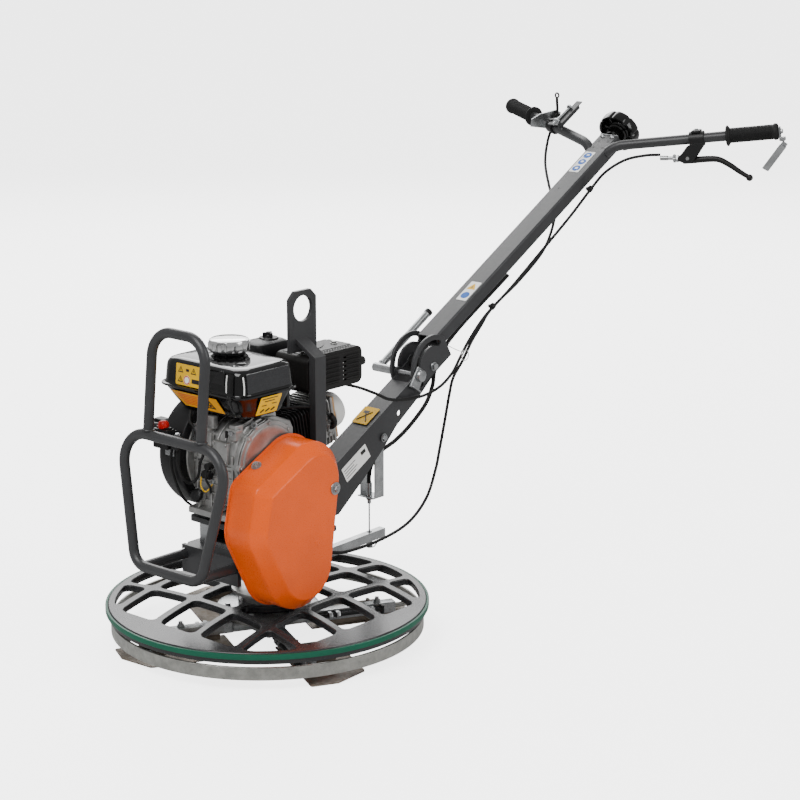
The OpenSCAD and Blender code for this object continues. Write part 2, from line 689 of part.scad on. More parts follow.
// Bar clamps with the lever pivots, the throttle cable's stay and the catch's end bracket.
module lever_clamps() {
  color(zinc) on_bar(-1) {
    difference() {
      union() {
        rod([176, 0, 0], [208, 0, 0], 16);
        for (y = [-14, 9]) box([158, y, -50], [184, y + 5, -8]);
      }
      rod([170, 0, 0], [210, 0, 0], bar_r + seat);
      rod(grip_pin - [0, 20, 0], grip_pin + [0, 20, 0], 4 + seat);
    }
    rod(grip_pin - [0, 17, 0], grip_pin + [0, 17, 0], 4);
    box([bar_len + 4.6, -9, -20], [372.9, 9, 10]);
    rod([372, 0, 0], [382, 0, 0], 6);
    for (y = [-9, 6.5]) box([372, y, -21], [382, y + 2.5, -13]);
    rod(catch_pin - [0, 8, 0], catch_pin + [0, 8, 0], 3);
  }
  color(zinc) on_bar(1) {
    difference() {
      union() {
        rod([150, 0, 0], [174, 0, 0], 16);
        translate([192, 0, 0]) rotate([90, 0, 90]) linear_extrude(3)
          polygon([[-33, 2], [-2, -13], [43, -6], [42, 11], [20, 23], [-20, 30], [-33, 24]]);
        box([173, 11.5, -8], [193, 14, 8]);
      }
      rod([140, 0, 0], [200, 0, 0], bar_r + seat);
    }
    rod(thumb_pin - [6, 0, 0], thumb_pin + [7, 0, 0], 4);
  }
  color(paint) on_handle() {
    box([753, 133, 47], [838, 136, 67]);
    box([765, 134, 47], [790, 176, 49.5]);
  }
}
module throttle_lever() {
  color(black) on_bar(1) {
    difference() { rod(thumb_pin - [4, 0, 0], thumb_pin + [4, 0, 0], 10); rod(thumb_pin - [8, 0, 0], thumb_pin + [8, 0, 0], 4 + run); }
    rod(thumb_pin + [0, 0, 8], thumb_pin + [0, 0, 48], 3);
  }
}
// Half-round catch that swings up to hold the squeezed clutch lever.
module lever_catch() {
  color(zinc) on_bar(-1) translate(catch_pin) rotate([0, -138.4, 0]) {
    difference() {
      union() { rod([0, -6, 0], [0, 6, 0], 4.9); box([-14.4, -5, 4], [-2, 5, 12]); }
      rod([0, -8, 0], [0, 8, 0], 3 + run);
    }
    difference() {
      translate([0, 0, 11]) cylinder(h = 64, r = 16);
      translate([0, 0, 10]) cylinder(h = 66, r = 14);
      box([0, -20, 10], [20, 20, 76]);
    }
  }
}
module lower_cables() {
  color(black) {
    // straight end sleeve, bored for the wire's full travel
    translate([296, 0, 229]) difference() {
      cylinder(h = 30, r = 4);
      translate([0, 0, -1]) cylinder(h = 25, r = 1.5 + run);
    }
    strand([[296, 0, 258], [304, 0, 276], [330, 0, 303], [380, 0, 345], [420, 0, 400]], 4);
    strand([[20, -42, 471.2], [200, -40, 471.2], [300, -36, 425], [420, -38, 395]], 3);
  }
}
module upper_cables() {
  color(black) on_handle() {
    strand([[72, -34.8, 0], [200, -30, 6], [500, -30, 6], [640, -40, 6], [760, -100, -30]], 3);
    strand([[72, -20, 7], [400, -12, 6], [700, 12, 6], [740, 120, 30]], 3);
  }
}

chassis_plate();
front_hoop();
engine_stand();
engine_plate();
lifting_bail();
gearbox_housing();
gearbox_lid();
bearings();
ring_carrier();
yoke_bracket();
belt_back_plate();
belt_cover();
cover_bolts();
drive_belt();
crankcase();
engine_side_cover();
finned_cylinder();
cylinder_head();
rocker_cover();
fuel_tank();
muffler();
muffler_guard();
air_intake();
fan_shroud();
recoil_housing();
lower_arm();
cable_bracket();
joint_bolts();
lower_cables();
rotor_shaft();
worm_wheel();
spider_hub();
stabiliser_ring();
blade_arm_1();
blade_arm_2();
blade_arm_3();
blade_arm_4();
thrust_sleeve();
guard_plate();
guard_band();
worm_shaft();
crankshaft();
idler_arm();
yoke_lever();
pitch_wire();
upper_tube();
hinge_plates();
handlebars();
grips();
lever_clamps();
pitch_knob();
pitch_nut();
clutch_lever();
throttle_lever();
lever_catch();
clamp_lever();
fuel_cap();
stop_switch();
starter_handle();
upper_cables();
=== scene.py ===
import json
from math import cos, pi, radians as rad, sin, tan

import bmesh
import bpy
import numpy as np
from mathutils import Matrix, Vector


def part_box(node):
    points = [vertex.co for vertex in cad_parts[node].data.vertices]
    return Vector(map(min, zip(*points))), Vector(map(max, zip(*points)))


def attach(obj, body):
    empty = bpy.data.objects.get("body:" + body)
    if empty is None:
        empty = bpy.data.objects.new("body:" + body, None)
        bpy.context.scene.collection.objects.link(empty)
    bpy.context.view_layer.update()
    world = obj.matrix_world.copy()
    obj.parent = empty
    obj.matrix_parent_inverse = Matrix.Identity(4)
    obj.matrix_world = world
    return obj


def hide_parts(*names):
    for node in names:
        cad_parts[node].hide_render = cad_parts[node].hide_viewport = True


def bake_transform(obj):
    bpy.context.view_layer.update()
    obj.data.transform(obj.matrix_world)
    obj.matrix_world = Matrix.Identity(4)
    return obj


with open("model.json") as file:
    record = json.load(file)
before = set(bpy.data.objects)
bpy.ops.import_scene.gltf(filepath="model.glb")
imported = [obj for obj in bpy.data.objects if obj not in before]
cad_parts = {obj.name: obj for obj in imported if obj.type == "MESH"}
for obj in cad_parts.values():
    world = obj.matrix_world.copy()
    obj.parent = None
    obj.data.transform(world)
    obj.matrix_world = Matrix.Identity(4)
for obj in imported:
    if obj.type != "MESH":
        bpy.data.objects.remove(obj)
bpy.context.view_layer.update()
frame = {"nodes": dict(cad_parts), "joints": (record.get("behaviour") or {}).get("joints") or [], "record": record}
MM = 0.001
DUST = (0.42, 0.40, 0.37)


# ---------------------------------------------------------------- materials
def new_material(name):
    mat = bpy.data.materials.new(name)
    mat.use_nodes = True
    tree = mat.node_tree
    return mat, tree, tree.nodes["Principled BSDF"]


def noise(tree, scale, detail=4, rough=0.6):
    """Object-space noise; scale is in cycles per metre."""
    coord = tree.nodes.new("ShaderNodeTexCoord")
    tex = tree.nodes.new("ShaderNodeTexNoise")
    tex.inputs["Scale"].default_value = scale
    tex.inputs["Detail"].default_value = detail
    tex.inputs["Roughness"].default_value = rough
    tree.links.new(coord.outputs["Object"], tex.inputs["Vector"])
    return tex.outputs["Fac"]


def remap(tree, value, lo, hi, out_lo=0.0, out_hi=1.0):
    node = tree.nodes.new("ShaderNodeMapRange")
    node.inputs["From Min"].default_value = lo
    node.inputs["From Max"].default_value = hi
    node.inputs["To Min"].default_value = out_lo
    node.inputs["To Max"].default_value = out_hi
    tree.links.new(value, node.inputs["Value"])
    return node.outputs["Result"]


def mix(tree, fac, a, b):
    """Colour mix; a and b are colours or sockets."""
    node = tree.nodes.new("ShaderNodeMix")
    node.data_type = "RGBA"
    tree.links.new(fac, node.inputs["Factor"])
    for key, value in ((6, a), (7, b)):
        if isinstance(value, tuple):
            node.inputs[key].default_value = (*value, 1)
        else:
            tree.links.new(value, node.inputs[key])
    return node.outputs[2]


def bump(tree, bsdf, height, strength, distance):
    node = tree.nodes.new("ShaderNodeBump")
    node.inputs["Strength"].default_value = strength
    node.inputs["Distance"].default_value = distance
    tree.links.new(height, node.inputs["Height"])
    tree.links.new(node.outputs["Normal"], bsdf.inputs["Normal"])


def upward(tree):
    """1 on faces that look up, where dust settles."""
    geo = tree.nodes.new("ShaderNodeNewGeometry")
    split = tree.nodes.new("ShaderNodeSeparateXYZ")
    tree.links.new(geo.outputs["Normal"], split.inputs["Vector"])
    return remap(tree, split.outputs["Z"], 0.55, 0.98)


def multiply(tree, a, b):
    node = tree.nodes.new("ShaderNodeMath")
    node.operation = "MULTIPLY"
    tree.links.new(a, node.inputs[0])
    if isinstance(b, float):
        node.inputs[1].default_value = b
    else:
        tree.links.new(b, node.inputs[1])
    return node.outputs[0]


def finish_material(
    name, colour, rough=0.4, metal=0.0, vary=0.12, patch=14, grain=900, bumps=0.1, depth=0.0002,
    dust=0.0, coat=0.0, spec=0.5,
):
    """Colour with soft patches, uneven gloss, fine surface grain and dust on the upper faces."""
    mat, tree, bsdf = new_material(name)
    patches = noise(tree, patch)
    fine = noise(tree, grain, detail=3)
    dark = tuple(c * (1 - vary) for c in colour)
    light = tuple(min(1, c * (1 + vary)) for c in colour)
    base = mix(tree, remap(tree, patches, 0.35, 0.65), dark, light)
    if dust:
        speck = remap(tree, noise(tree, patch * 5, detail=8, rough=0.75), 0.42, 0.72)
        cover = multiply(tree, multiply(tree, speck, upward(tree)), dust)
        base = mix(tree, cover, base, DUST)
    tree.links.new(base, bsdf.inputs["Base Color"])
    gloss = remap(tree, fine, 0.3, 0.7, max(0.02, rough - 0.08), min(1, rough + 0.1))
    tree.links.new(gloss, bsdf.inputs["Roughness"])
    bsdf.inputs["Metallic"].default_value = metal
    bsdf.inputs["Specular IOR Level"].default_value = spec
    bsdf.inputs["Coat Weight"].default_value = coat
    bsdf.inputs["Coat Roughness"].default_value = 0.08
    bump(tree, bsdf, fine, bumps, depth)
    return mat


PAINT = finish_material("frame_paint", (0.027, 0.0275, 0.029), 0.36, vary=0.1, grain=1400, bumps=0.12, dust=0.04,
    spec=0.45)
PLATE = finish_material("plate_paint", (0.02, 0.0205, 0.022), 0.24, vary=0.14, grain=1100, bumps=0.1, dust=0.06)
ORANGE = finish_material("orange_paint", (0.74, 0.088, 0.001), 0.3, vary=0.04, grain=500, bumps=0.04, coat=0.1,
    spec=0.25)
ZINC = finish_material("zinc", (0.42, 0.43, 0.435), 0.3, 0.95, vary=0.16, patch=45, grain=700, bumps=0.12)
GALV = finish_material("galvanised", (0.46, 0.46, 0.43), 0.34, 0.9, vary=0.16, patch=60, grain=500, bumps=0.15)
STEEL = finish_material("bright_steel", (0.66, 0.66, 0.65), 0.22, 1.0, vary=0.06, patch=60, grain=1500, bumps=0.08)
CAST = finish_material("cast_alloy", (0.42, 0.42, 0.41), 0.36, 0.85, vary=0.16, patch=30, grain=1700, bumps=0.5,
    depth=0.0004)
BRONZE = finish_material("bronze", (0.55, 0.36, 0.14), 0.3, 1.0, vary=0.08)
BLADE = finish_material("blade_steel", (0.165, 0.135, 0.105), 0.5, 0.5, vary=0.3, patch=22, grain=900, bumps=0.4,
    dust=0.5)
BLACK = finish_material("black_plastic", (0.006, 0.006, 0.0065), 0.4, vary=0.15, grain=2500, bumps=0.2, spec=0.35)
GLOSS = finish_material("gloss_black", (0.002, 0.002, 0.002), 0.1, vary=0.1, grain=300, bumps=0.01, coat=0.3, spec=0.4)
HOT = finish_material("heat_black", (0.006, 0.0055, 0.005), 0.42, 0.0, vary=0.2, grain=1800, bumps=0.25,
    depth=0.0003, spec=0.35)
RUBBER = finish_material("rubber", (0.008, 0.008, 0.008), 0.6, vary=0.15, grain=2200, bumps=0.3, depth=0.0003, spec=0.3)
FIN = finish_material("cooling_fins", (0.03, 0.03, 0.031), 0.3, 0.7, vary=0.2, grain=1200, bumps=0.3, depth=0.0003)
GASKET = finish_material("gasket", (0.36, 0.2, 0.09), 0.6, vary=0.15, grain=900, bumps=0.3)
COVER_GREY = finish_material("cover_paint", (0.62, 0.62, 0.6), 0.42, 0.15, vary=0.06, grain=1200, bumps=0.15)
# light metal for painted glints, the small bright dots on the muffler shield
GLINT = finish_material("painted_glint", (0.5, 0.5, 0.49), 0.4, 0.6, vary=0.1)
GREEN = finish_material("green_band", (0.0, 0.085, 0.045), 0.4, vary=0.08, grain=900, bumps=0.1, spec=0.3)
RED = finish_material("red_plastic", (0.5, 0.006, 0.004), 0.3, vary=0.06, spec=0.3)
CHROME = finish_material("chrome", (0.78, 0.78, 0.78), 0.09, 1.0, vary=0.02, grain=300, bumps=0.02)
YELLOW = finish_material("yellow_label", (0.72, 0.41, 0.0), 0.4, vary=0.03, grain=400, bumps=0.03, spec=0.2)
AMBER = finish_material("amber_label", (0.60, 0.25, 0.0), 0.4, vary=0.04, grain=400, bumps=0.03, spec=0.2)
# white for labels, plug and cord, and for the painted highlights on the tank corner
WHITE = finish_material("plain_white_and_painted_highlight", (0.78, 0.78, 0.76), 0.4, vary=0.03, grain=400, bumps=0.03)
BLUE = finish_material("blue_print", (0.0, 0.09, 0.40), 0.4, vary=0.05, spec=0.2)
# black for print, and for painted shade in the tube-top holes and the outlet bore
PRINT_AND_SHADE = finish_material("black_print_and_painted_shade", (0.01, 0.01, 0.01), 0.45, vary=0.05)

SLOT_OF = {
    "frame_paint": PAINT, "orange_paint": ORANGE, "zinc": ZINC, "cast_alloy": CAST, "bearing_steel": STEEL,
    "bronze": BRONZE, "blade_steel": BLADE, "black_plastic": BLACK, "gloss_black": GLOSS,
    "black_rubber": RUBBER, "green_band": GREEN, "red_plastic": RED, "black_metal": HOT, "chrome": CHROME,
}


# ---------------------------------------------------------------- CAD nodes
def dress_cad_nodes():
    """Every CAD node gets its slot's material, welded smooth faces and softened edges."""
    for row in frame["record"]["subparts"]:
        obj = frame["nodes"][row["node"]]
        obj.data.materials.clear()
        obj.data.materials.append(SLOT_OF[row["material_slot"]])
        weld = obj.modifiers.new("weld", "WELD")
        weld.merge_threshold = 1e-5
        bevel = obj.modifiers.new("bevel", "BEVEL")
        bevel.width = 0.0007
        bevel.segments = 2
        bevel.limit_method = "ANGLE"
        bevel.angle_limit = rad(40)
        bevel.use_clamp_overlap = True


dress_cad_nodes()


# ---------------------------------------------------------------- mesh tools, in millimetres
def shift_by(offset):
    return Matrix.Translation(offset)


def turn_by(degrees, axis):
    return Matrix.Rotation(rad(degrees), 4, axis)


def unit_to(direction):
    """Rotation that turns +Z to a direction."""
    return Vector(direction).to_track_quat("Z", "Y").to_matrix().to_4x4()


def arc(cx, cy, r, a0, a1, n):
    """Points of an arc in a plane, angles in degrees."""
    return [
        (cx + r * cos(rad(a0 + (a1 - a0) * i / n)), cy + r * sin(rad(a0 + (a1 - a0) * i / n)))
        for i in range(n + 1)
    ]


def smooth_path(points, steps=8):
    """Catmull-Rom curve through the points."""
    pts = [Vector(p) for p in points]
    pts = [2 * pts[0] - pts[1], *pts, 2 * pts[-1] - pts[-2]]
    out = []
    for i in range(1, len(pts) - 2):
        a, b, c, d = pts[i - 1 : i + 3]
        for k in range(steps):
            t = k / steps
            out.append(
                0.5 * (2 * b + (c - a) * t + (2 * a - 5 * b + 4 * c - d) * t**2 + (3 * b - a - 3 * c + d) * t**3)
            )
    out.append(pts[-2])
    return out


def fillet_path(points, radii, steps=10, closed=False):
    """Straight lengths joined by arcs of the given radii."""
    pts = [Vector(p) for p in points]
    n = len(pts)
    out = []
    for i, p in enumerate(pts):
        if not closed and i in (0, n - 1):
            out.append(p)
            continue
        a = (pts[i - 1] - p).normalized()
        b = (pts[(i + 1) % n] - p).normalized()
        half = a.angle(b) / 2
        cut = radii[i] / tan(half)
        centre = p + (a + b).normalized() * (radii[i] / sin(half))
        u, v = p + a * cut - centre, p + b * cut - centre
        sweep = u.angle(v)
        for k in range(steps + 1):
            t = k / steps
            out.append(centre + (u * sin((1 - t) * sweep) + v * sin(t * sweep)) / sin(sweep))
    return out


class Piece:
    """Shapes in millimetres gathered into one object. Each shape takes the material in use."""

    def __init__(self, material):
        self.bm = bmesh.new()
        self.materials = []
        self.place = Matrix.Identity(4)
        self.use(material)

    def use(self, material):
        if material not in self.materials:
            self.materials.append(material)
        self.index = self.materials.index(material)
        return self

    def at(self, matrix=None):
        """Later shapes are placed through this matrix."""
        self.place = matrix if matrix is not None else Matrix.Identity(4)
        return self

    def take(self, bm, matrix=None):
        for f in bm.faces:
            f.material_index = self.index
        bm.transform(self.place @ (matrix if matrix is not None else Matrix.Identity(4)))
        mesh = bpy.data.meshes.new("tmp")
        bm.to_mesh(mesh)
        bm.free()
        self.bm.from_mesh(mesh)
        bpy.data.meshes.remove(mesh)
        return self

    def grid(self, rings, closed=True, caps=(True, True)):
        """Skin over equal rings of points; the rings are closed loops."""
        bm = bmesh.new()
        rows = [[bm.verts.new(p) for p in ring] for ring in rings]
        n = len(rows[0])
        for a, b in zip(rows, rows[1:]):
            for i in range(n if closed else n - 1):
                j = (i + 1) % n
                bm.faces.new((a[i], a[j], b[j], b[i]))
        if caps[0]:
            bm.faces.new(rows[0][::-1])
        if caps[1]:
            bm.faces.new(rows[-1])
        bmesh.ops.recalc_face_normals(bm, faces=bm.faces)
        return self.take(bm)

    def box(self, lo, hi, bevel=1.0, segments=2, turn=None):
        lo, hi = Vector(lo), Vector(hi)
        bm = bmesh.new()
        bmesh.ops.create_cube(bm, size=1)
        size = hi - lo
        bmesh.ops.scale(bm, vec=size, verts=bm.verts)
        if bevel:
            width = min(bevel, min(size) * 0.45)
            bmesh.ops.bevel(bm, geom=bm.edges[:], offset=width, segments=segments, profile=0.5, affect="EDGES")
        middle = shift_by((lo + hi) / 2)
        return self.take(bm, middle @ turn if turn is not None else middle)

    def lathe(self, profile, origin=(0, 0, 0), axis=(0, 0, 1), n=48, shape=None):
        """Turned shape; the profile holds (radius, distance along axis). shape(angle) scales the radius."""
        m = shift_by(origin) @ unit_to(axis)
        rings = []
        for r, z in profile:
            ring = []
            for i in range(n):
                a = 2 * pi * i / n
                k = r * (shape(a) if shape else 1)
                ring.append(m @ Vector((k * cos(a), k * sin(a), z)))
            rings.append(ring)
        solid_ends = profile[0] != profile[-1]
        return self.grid(rings, caps=(solid_ends, solid_ends))

    def rod(self, p, q, r, bevel=0.6, n=32):
        p, q = Vector(p), Vector(q)
        h = (q - p).length
        b = min(bevel, r * 0.4, h * 0.4)
        profile = [(r - b, 0), (r - b * 0.3, b * 0.3), (r, b), (r, h - b), (r - b * 0.3, h - b * 0.3), (r - b, h)]
        return self.lathe(profile, p, q - p, n)

    def pipe(self, p, q, r, inner, n=40):
        """Tube with an open bore."""
        p, q = Vector(p), Vector(q)
        h = (q - p).length
        b = min(0.5, (r - inner) * 0.3)
        profile = [(inner, 0), (r - b, 0), (r, b), (r, h - b), (r - b, h), (inner, h), (inner, 0)]
        return self.lathe(profile, p, q - p, n)

    def tube(self, path, r, n=16, radii=None):
        """Round tube along a path, its frame carried along without twist."""
        pts = [Vector(p) for p in path]
        tangents = [(pts[min(i + 1, len(pts) - 1)] - pts[max(i - 1, 0)]).normalized() for i in range(len(pts))]
        side = tangents[0].orthogonal().normalized()
        rings = []
        for i, (p, t) in enumerate(zip(pts, tangents)):
            side = (side - t * side.dot(t)).normalized()
            up = t.cross(side)
            k = radii[i] if radii else r
            rings.append(
                [p + k * (side * cos(2 * pi * j / n) + up * sin(2 * pi * j / n)) for j in range(n)]
            )
        return self.grid(rings)

    def loop_tube(self, path, r, n=16):
        """Closed tube along a closed flat path."""
        pts = [Vector(p) for p in path]
        m = len(pts)
        normal = (pts[m // 3] - pts[0]).cross(pts[2 * m // 3] - pts[0]).normalized()
        bm = bmesh.new()
        rows = []
        for i, p in enumerate(pts):
            t = (pts[(i + 1) % m] - pts[i - 1]).normalized()
            side = t.cross(normal)
            rows.append(
                [
                    bm.verts.new(p + r * (side * cos(2 * pi * j / n) + normal * sin(2 * pi * j / n)))
                    for j in range(n)
                ]
            )
        for i in range(m):
            a, b = rows[i], rows[(i + 1) % m]
            for j in range(n):
                bm.faces.new((a[j], a[(j + 1) % n], b[(j + 1) % n], b[j]))
        bmesh.ops.recalc_face_normals(bm, faces=bm.faces)
        return self.take(bm)

    def ball(self, centre, r, scale=(1, 1, 1)):
        bm = bmesh.new()
        bmesh.ops.create_uvsphere(bm, u_segments=24, v_segments=16, radius=r)
        bmesh.ops.scale(bm, vec=scale, verts=bm.verts)
        return self.take(bm, shift_by(centre))

    def plate(self, outline, holes, low, high, plane, bevel=0.8, segments=2):
        """Flat plate with holes. plane maps flat points to the frame; low and high are its faces."""
        curve = bpy.data.curves.new("plate", "CURVE")
        curve.dimensions = "2D"
        curve.fill_mode = "BOTH"
        for loop in (outline, *holes):
            spline = curve.splines.new("POLY")
            spline.points.add(len(loop) - 1)
            for point, (x, y) in zip(spline.points, loop):
                point.co = (x, y, 0, 1)
            spline.use_cyclic_u = True
        b = min(bevel, (high - low) * 0.45)
        curve.extrude = (high - low) / 2 - b
        curve.bevel_depth = b
        curve.bevel_resolution = segments
        curve.offset = -b
        obj = bpy.data.objects.new("plate", curve)
        bpy.context.scene.collection.objects.link(obj)
        mesh = bpy.data.meshes.new_from_object(obj.evaluated_get(bpy.context.evaluated_depsgraph_get()))
        bpy.data.objects.remove(obj)
        bm = bmesh.new()
        bm.from_mesh(mesh)
        bpy.data.meshes.remove(mesh)
        bmesh.ops.remove_doubles(bm, verts=bm.verts, dist=0.001)
        bmesh.ops.recalc_face_normals(bm, faces=bm.faces)
        return self.take(bm, plane @ shift_by((0, 0, (low + high) / 2)))

    def bolt(self, p, axis, size=8, washer=True):
        """Hexagon bolt head standing on p, its axis pointing outwards."""
        m = shift_by(p) @ unit_to(axis)
        keep = self.place
        self.place = keep @ m
        base = 0
        if washer:
            self.lathe([(size * 0.3, 0), (size * 1.05, 0), (size * 1.1, 0.4), (size * 1.05, 1.6),
                (size * 0.3, 1.6)], n=36)
            base = 1.6
        r, h = size * 0.92, size * 0.62
        rings = []
        for k, z in ((0.94, 0), (1, 0.4), (1, h * 0.72), (0.88, h)):
            ring = []
            for i in range(36):
                a = pi * 2 * i / 36
                hexed = cos(pi / 6) / cos((a % (pi / 3)) - pi / 6)
                ring.append(Vector((cos(a), sin(a), 0)) * (min(hexed, 1.0) * r * k) + Vector((0, 0, base + z)))
            rings.append(ring)
        self.grid(rings)
        self.place = keep
        return self

    def done(self, name, body, replaces=(), slot=None, crease=36):
        """Makes the object in metres and hangs it on its CAD body."""
        self.bm.transform(Matrix.Scale(MM, 4))
        for f in self.bm.faces:
            f.smooth = True
        for e in self.bm.edges:
            if len(e.link_faces) == 2 and e.calc_face_angle(0) > rad(crease):
                e.smooth = False
        mesh = bpy.data.meshes.new(name)
        self.bm.to_mesh(mesh)
        self.bm.free()
        for material in self.materials:
            mesh.materials.append(material)
        obj = bpy.data.objects.new(name, mesh)
        bpy.context.scene.collection.objects.link(obj)
        weighted = obj.modifiers.new("weighted", "WEIGHTED_NORMAL")
        weighted.keep_sharp = True
        if body:  # a piece given no body rides none and stays where it is built
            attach(obj, body)
        if replaces:
            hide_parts(*replaces)
        return obj


# flat (x, y) to frame (x, 0, y) with the thickness along -Y, and to frame (0, x, y) with it along X
XZ = Matrix(((1, 0, 0, 0), (0, 0, -1, 0), (0, 1, 0, 0), (0, 0, 0, 1)))
YZ = Matrix(((0, 0, 1, 0), (1, 0, 0, 0), (0, 1, 0, 0), (0, 0, 0, 1)))


def joint_pos(name):
    joint = next(j for j in frame["joints"] if j["name"] == name)
    return Vector(joint["pos_m"]) / MM


def box_mm(node):
    lo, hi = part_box(node)
    return lo / MM, hi / MM


# ---------------------------------------------------------------- outlines
def hull_outline(circles, inset=0.0, n=180):
    """Outline of the hull of circles (x, y, r), walked by the direction of its normal."""
    out = []
    for i in range(n):
        a = 2 * pi * i / n
        d = (cos(a), sin(a))
        x, y, r = max(circles, key=lambda c: c[0] * d[0] + c[1] * d[1] + c[2])
        out.append((x + (r - inset) * d[0], y + (r - inset) * d[1]))
    return out


def rounded(half_x, half_y, r, cx=0.0, cy=0.0, n=8):
    """Rounded rectangle, counter-clockwise."""
    out = []
    for k, (sx, sy) in enumerate(((1, 1), (-1, 1), (-1, -1), (1, -1))):
        out += arc(cx + sx * (half_x - r), cy + sy * (half_y - r), r, 90 * k, 90 * k + 90, n)
    return out


def trace_level(field, xs, ys):
    """Closed loops where a field on a grid crosses zero, with the positive side on the left."""
    links = {}

    def cross(i0, j0, i1, j1):
        a, b = field[i0, j0], field[i1, j1]
        t = a / (a - b)
        return (round(xs[i0] + t * (xs[i1] - xs[i0]), 4), round(ys[j0] + t * (ys[j1] - ys[j0]), 4))

    inside = field > 0
    busy = inside[:-1, :-1].astype(int) + inside[1:, :-1] + inside[:-1, 1:] + inside[1:, 1:]
    for i, j in zip(*np.where((busy > 0) & (busy < 4))):
        corners = [(i, j), (i + 1, j), (i + 1, j + 1), (i, j + 1)]
        enter, leave = [], []
        for k in range(4):
            a, b = corners[k], corners[(k + 1) % 4]
            if inside[a] and not inside[b]:
                leave.append(cross(*a, *b))
            elif inside[b] and not inside[a]:
                enter.append(cross(*a, *b))
        for p, q in zip(leave, enter):
            links[p] = q
    loops = []
    while links:
        start, point = next(iter(links.items()))
        loop = [start]
        del links[start]
        while point != start and point in links:
            loop.append(point)
            point = links.pop(point)
        loops.append(loop)
    return loops


# ---------------------------------------------------------------- guard ring
def guard_holes():
    """Rounded windows between the two fans of curved ribs."""
    rib, corner, bow, middle = 18, 13, 770, 60
    xs = np.arange(-300, 300.1, 2.5)
    x, y = np.meshgrid(xs, xs, indexing="ij")
    rho = np.hypot(x, y)
    limits = [294 - rho, x + 238, y + 238, rho - 58]
    for u, v in ((x, y), (y, x)):
        near = np.full_like(x, 1e9)
        for k in range(4):
            centre = -96 + 108 * k - bow
            near = np.minimum(near, np.abs(np.hypot(u - centre, v - middle) - bow))
        limits.append(near - rib / 2)
    gaps = [np.maximum(corner - d, 0) for d in limits]
    field = corner - np.sqrt(sum(g * g for g in gaps))
    loops = [loop for loop in trace_level(field, xs, xs) if len(loop) > 14]
    return [loop[::2] for loop in loops]


def make_guard_ring():
    top = box_mm("guard_plate")[1].z
    p = Piece(PLATE)
    p.plate(arc(0, 0, 309, 0, 358, 179), [*guard_holes(), arc(0, 0, 48.1, 0, 350, 35)], 60, top, Matrix(), bevel=3.2,
        segments=3)
    # folded edge hanging below the rim
    p.lathe([(304.5, 52), (308, 52), (309, 53), (309, 64), (308, 65), (304.5, 65), (304.5, 52)], n=180)
    p.done("guard_ring_plate", "guard_ring", ["guard_plate"], "frame_paint", crease=50)
    h = Piece(ZINC)
    h.lathe([(48.1, 50.8), (99, 50.8), (100, 52), (100, 58.6), (98, 59.8), (48.1, 59.8), (48.1, 50.8)], n=96)
    for k in range(6):
        a = rad(60 * k + 20)
        h.bolt((78 * cos(a), 78 * sin(a), 50.8), (0, 0, -1), 6)
        h.bolt((78 * cos(a), 78 * sin(a), 59.8), (0, 0, 1), 6)
    h.done("guard_hub_flange", "guard_ring", slot="zinc")


# ---------------------------------------------------------------- belt cover
COVER = ((-32, 342, 77), (-150, 337, 28), (-128, 270, 64), (-62, 187, 85))


def make_belt_cover():
    rim, shoulder, face, thick = -85.2, -147, -170, 2.2
    outer = [(-4.5, rim), (-4.5, rim - 2), (-0.5, rim - 3.2), (0, rim - 5), (0, shoulder + 5)]
    outer += [(0.35, shoulder + 2), (1.6, shoulder - 0.8), (19.5, face + 3.2), (22, face + 0.9), (25, face)]
    inner = [(25, face + thick), (21, face + 5), (3.6, shoulder + 1), (thick, shoulder + 6), (thick, rim)]
    rings = []
    for inset, y in outer:
        rings.append([Vector((a, y, b)) for a, b in hull_outline(COVER, inset)])
    inner_rings = [[Vector((a, y, b)) for a, b in hull_outline(COVER, inset)] for inset, y in inner]
    p = Piece(ORANGE)
    bm = bmesh.new()
    loops = [[bm.verts.new(v) for v in ring] for ring in (*rings, *inner_rings)]
    n = len(loops[0])
    last = len(rings) - 1
    for k in range(len(loops)):
        if k == last:
            bm.faces.new(loops[k])
            bm.faces.new(loops[k + 1])
            continue
        a, b = loops[k], loops[(k + 1) % len(loops)]
        for i in range(n):
            j = (i + 1) % n
            bm.faces.new((a[i], a[j], b[j], b[i]))
    bmesh.ops.recalc_face_normals(bm, faces=bm.faces)
    p.take(bm)
    # shallow oval dimple low on the face
    p.lathe([(0.5, 0), (6, 0), (6.5, 0.3), (5.8, 0.9), (0.5, 1.2)], (-38, face + 0.2, 228), (0, -1, 0), 32)
    p.done("belt_cover_shell", "frame", ["belt_cover"], "orange_paint", crease=28)

    b = Piece(ZINC)
    for at, axis, wide in (((12, face, 324), (0, -1, 0), 12.6), ((-122, -97, 382.6), (-0.454, 0, 0.891), 10.5)):
        spot, out = Vector(at), Vector(axis)
        b.lathe([(3, 0.1), (wide - 0.4, 0.1), (wide, 0.6), (wide - 0.4, 1.9), (7.5, 2.4), (3, 2.4)], spot, out, 48)
        b.bolt(spot + out * 2.4, out, 7.4, washer=False)
        b.lathe([(7, 0), (8.6, 0.2), (8.6, 1.2), (7, 1.6)], spot + out * 2.4, out, 40)
        b.rod(spot + out * 6.5, spot + out * 9, 3.2)
    b.done("cover_bolt_set", "frame", ["cover_bolts"], "zinc")


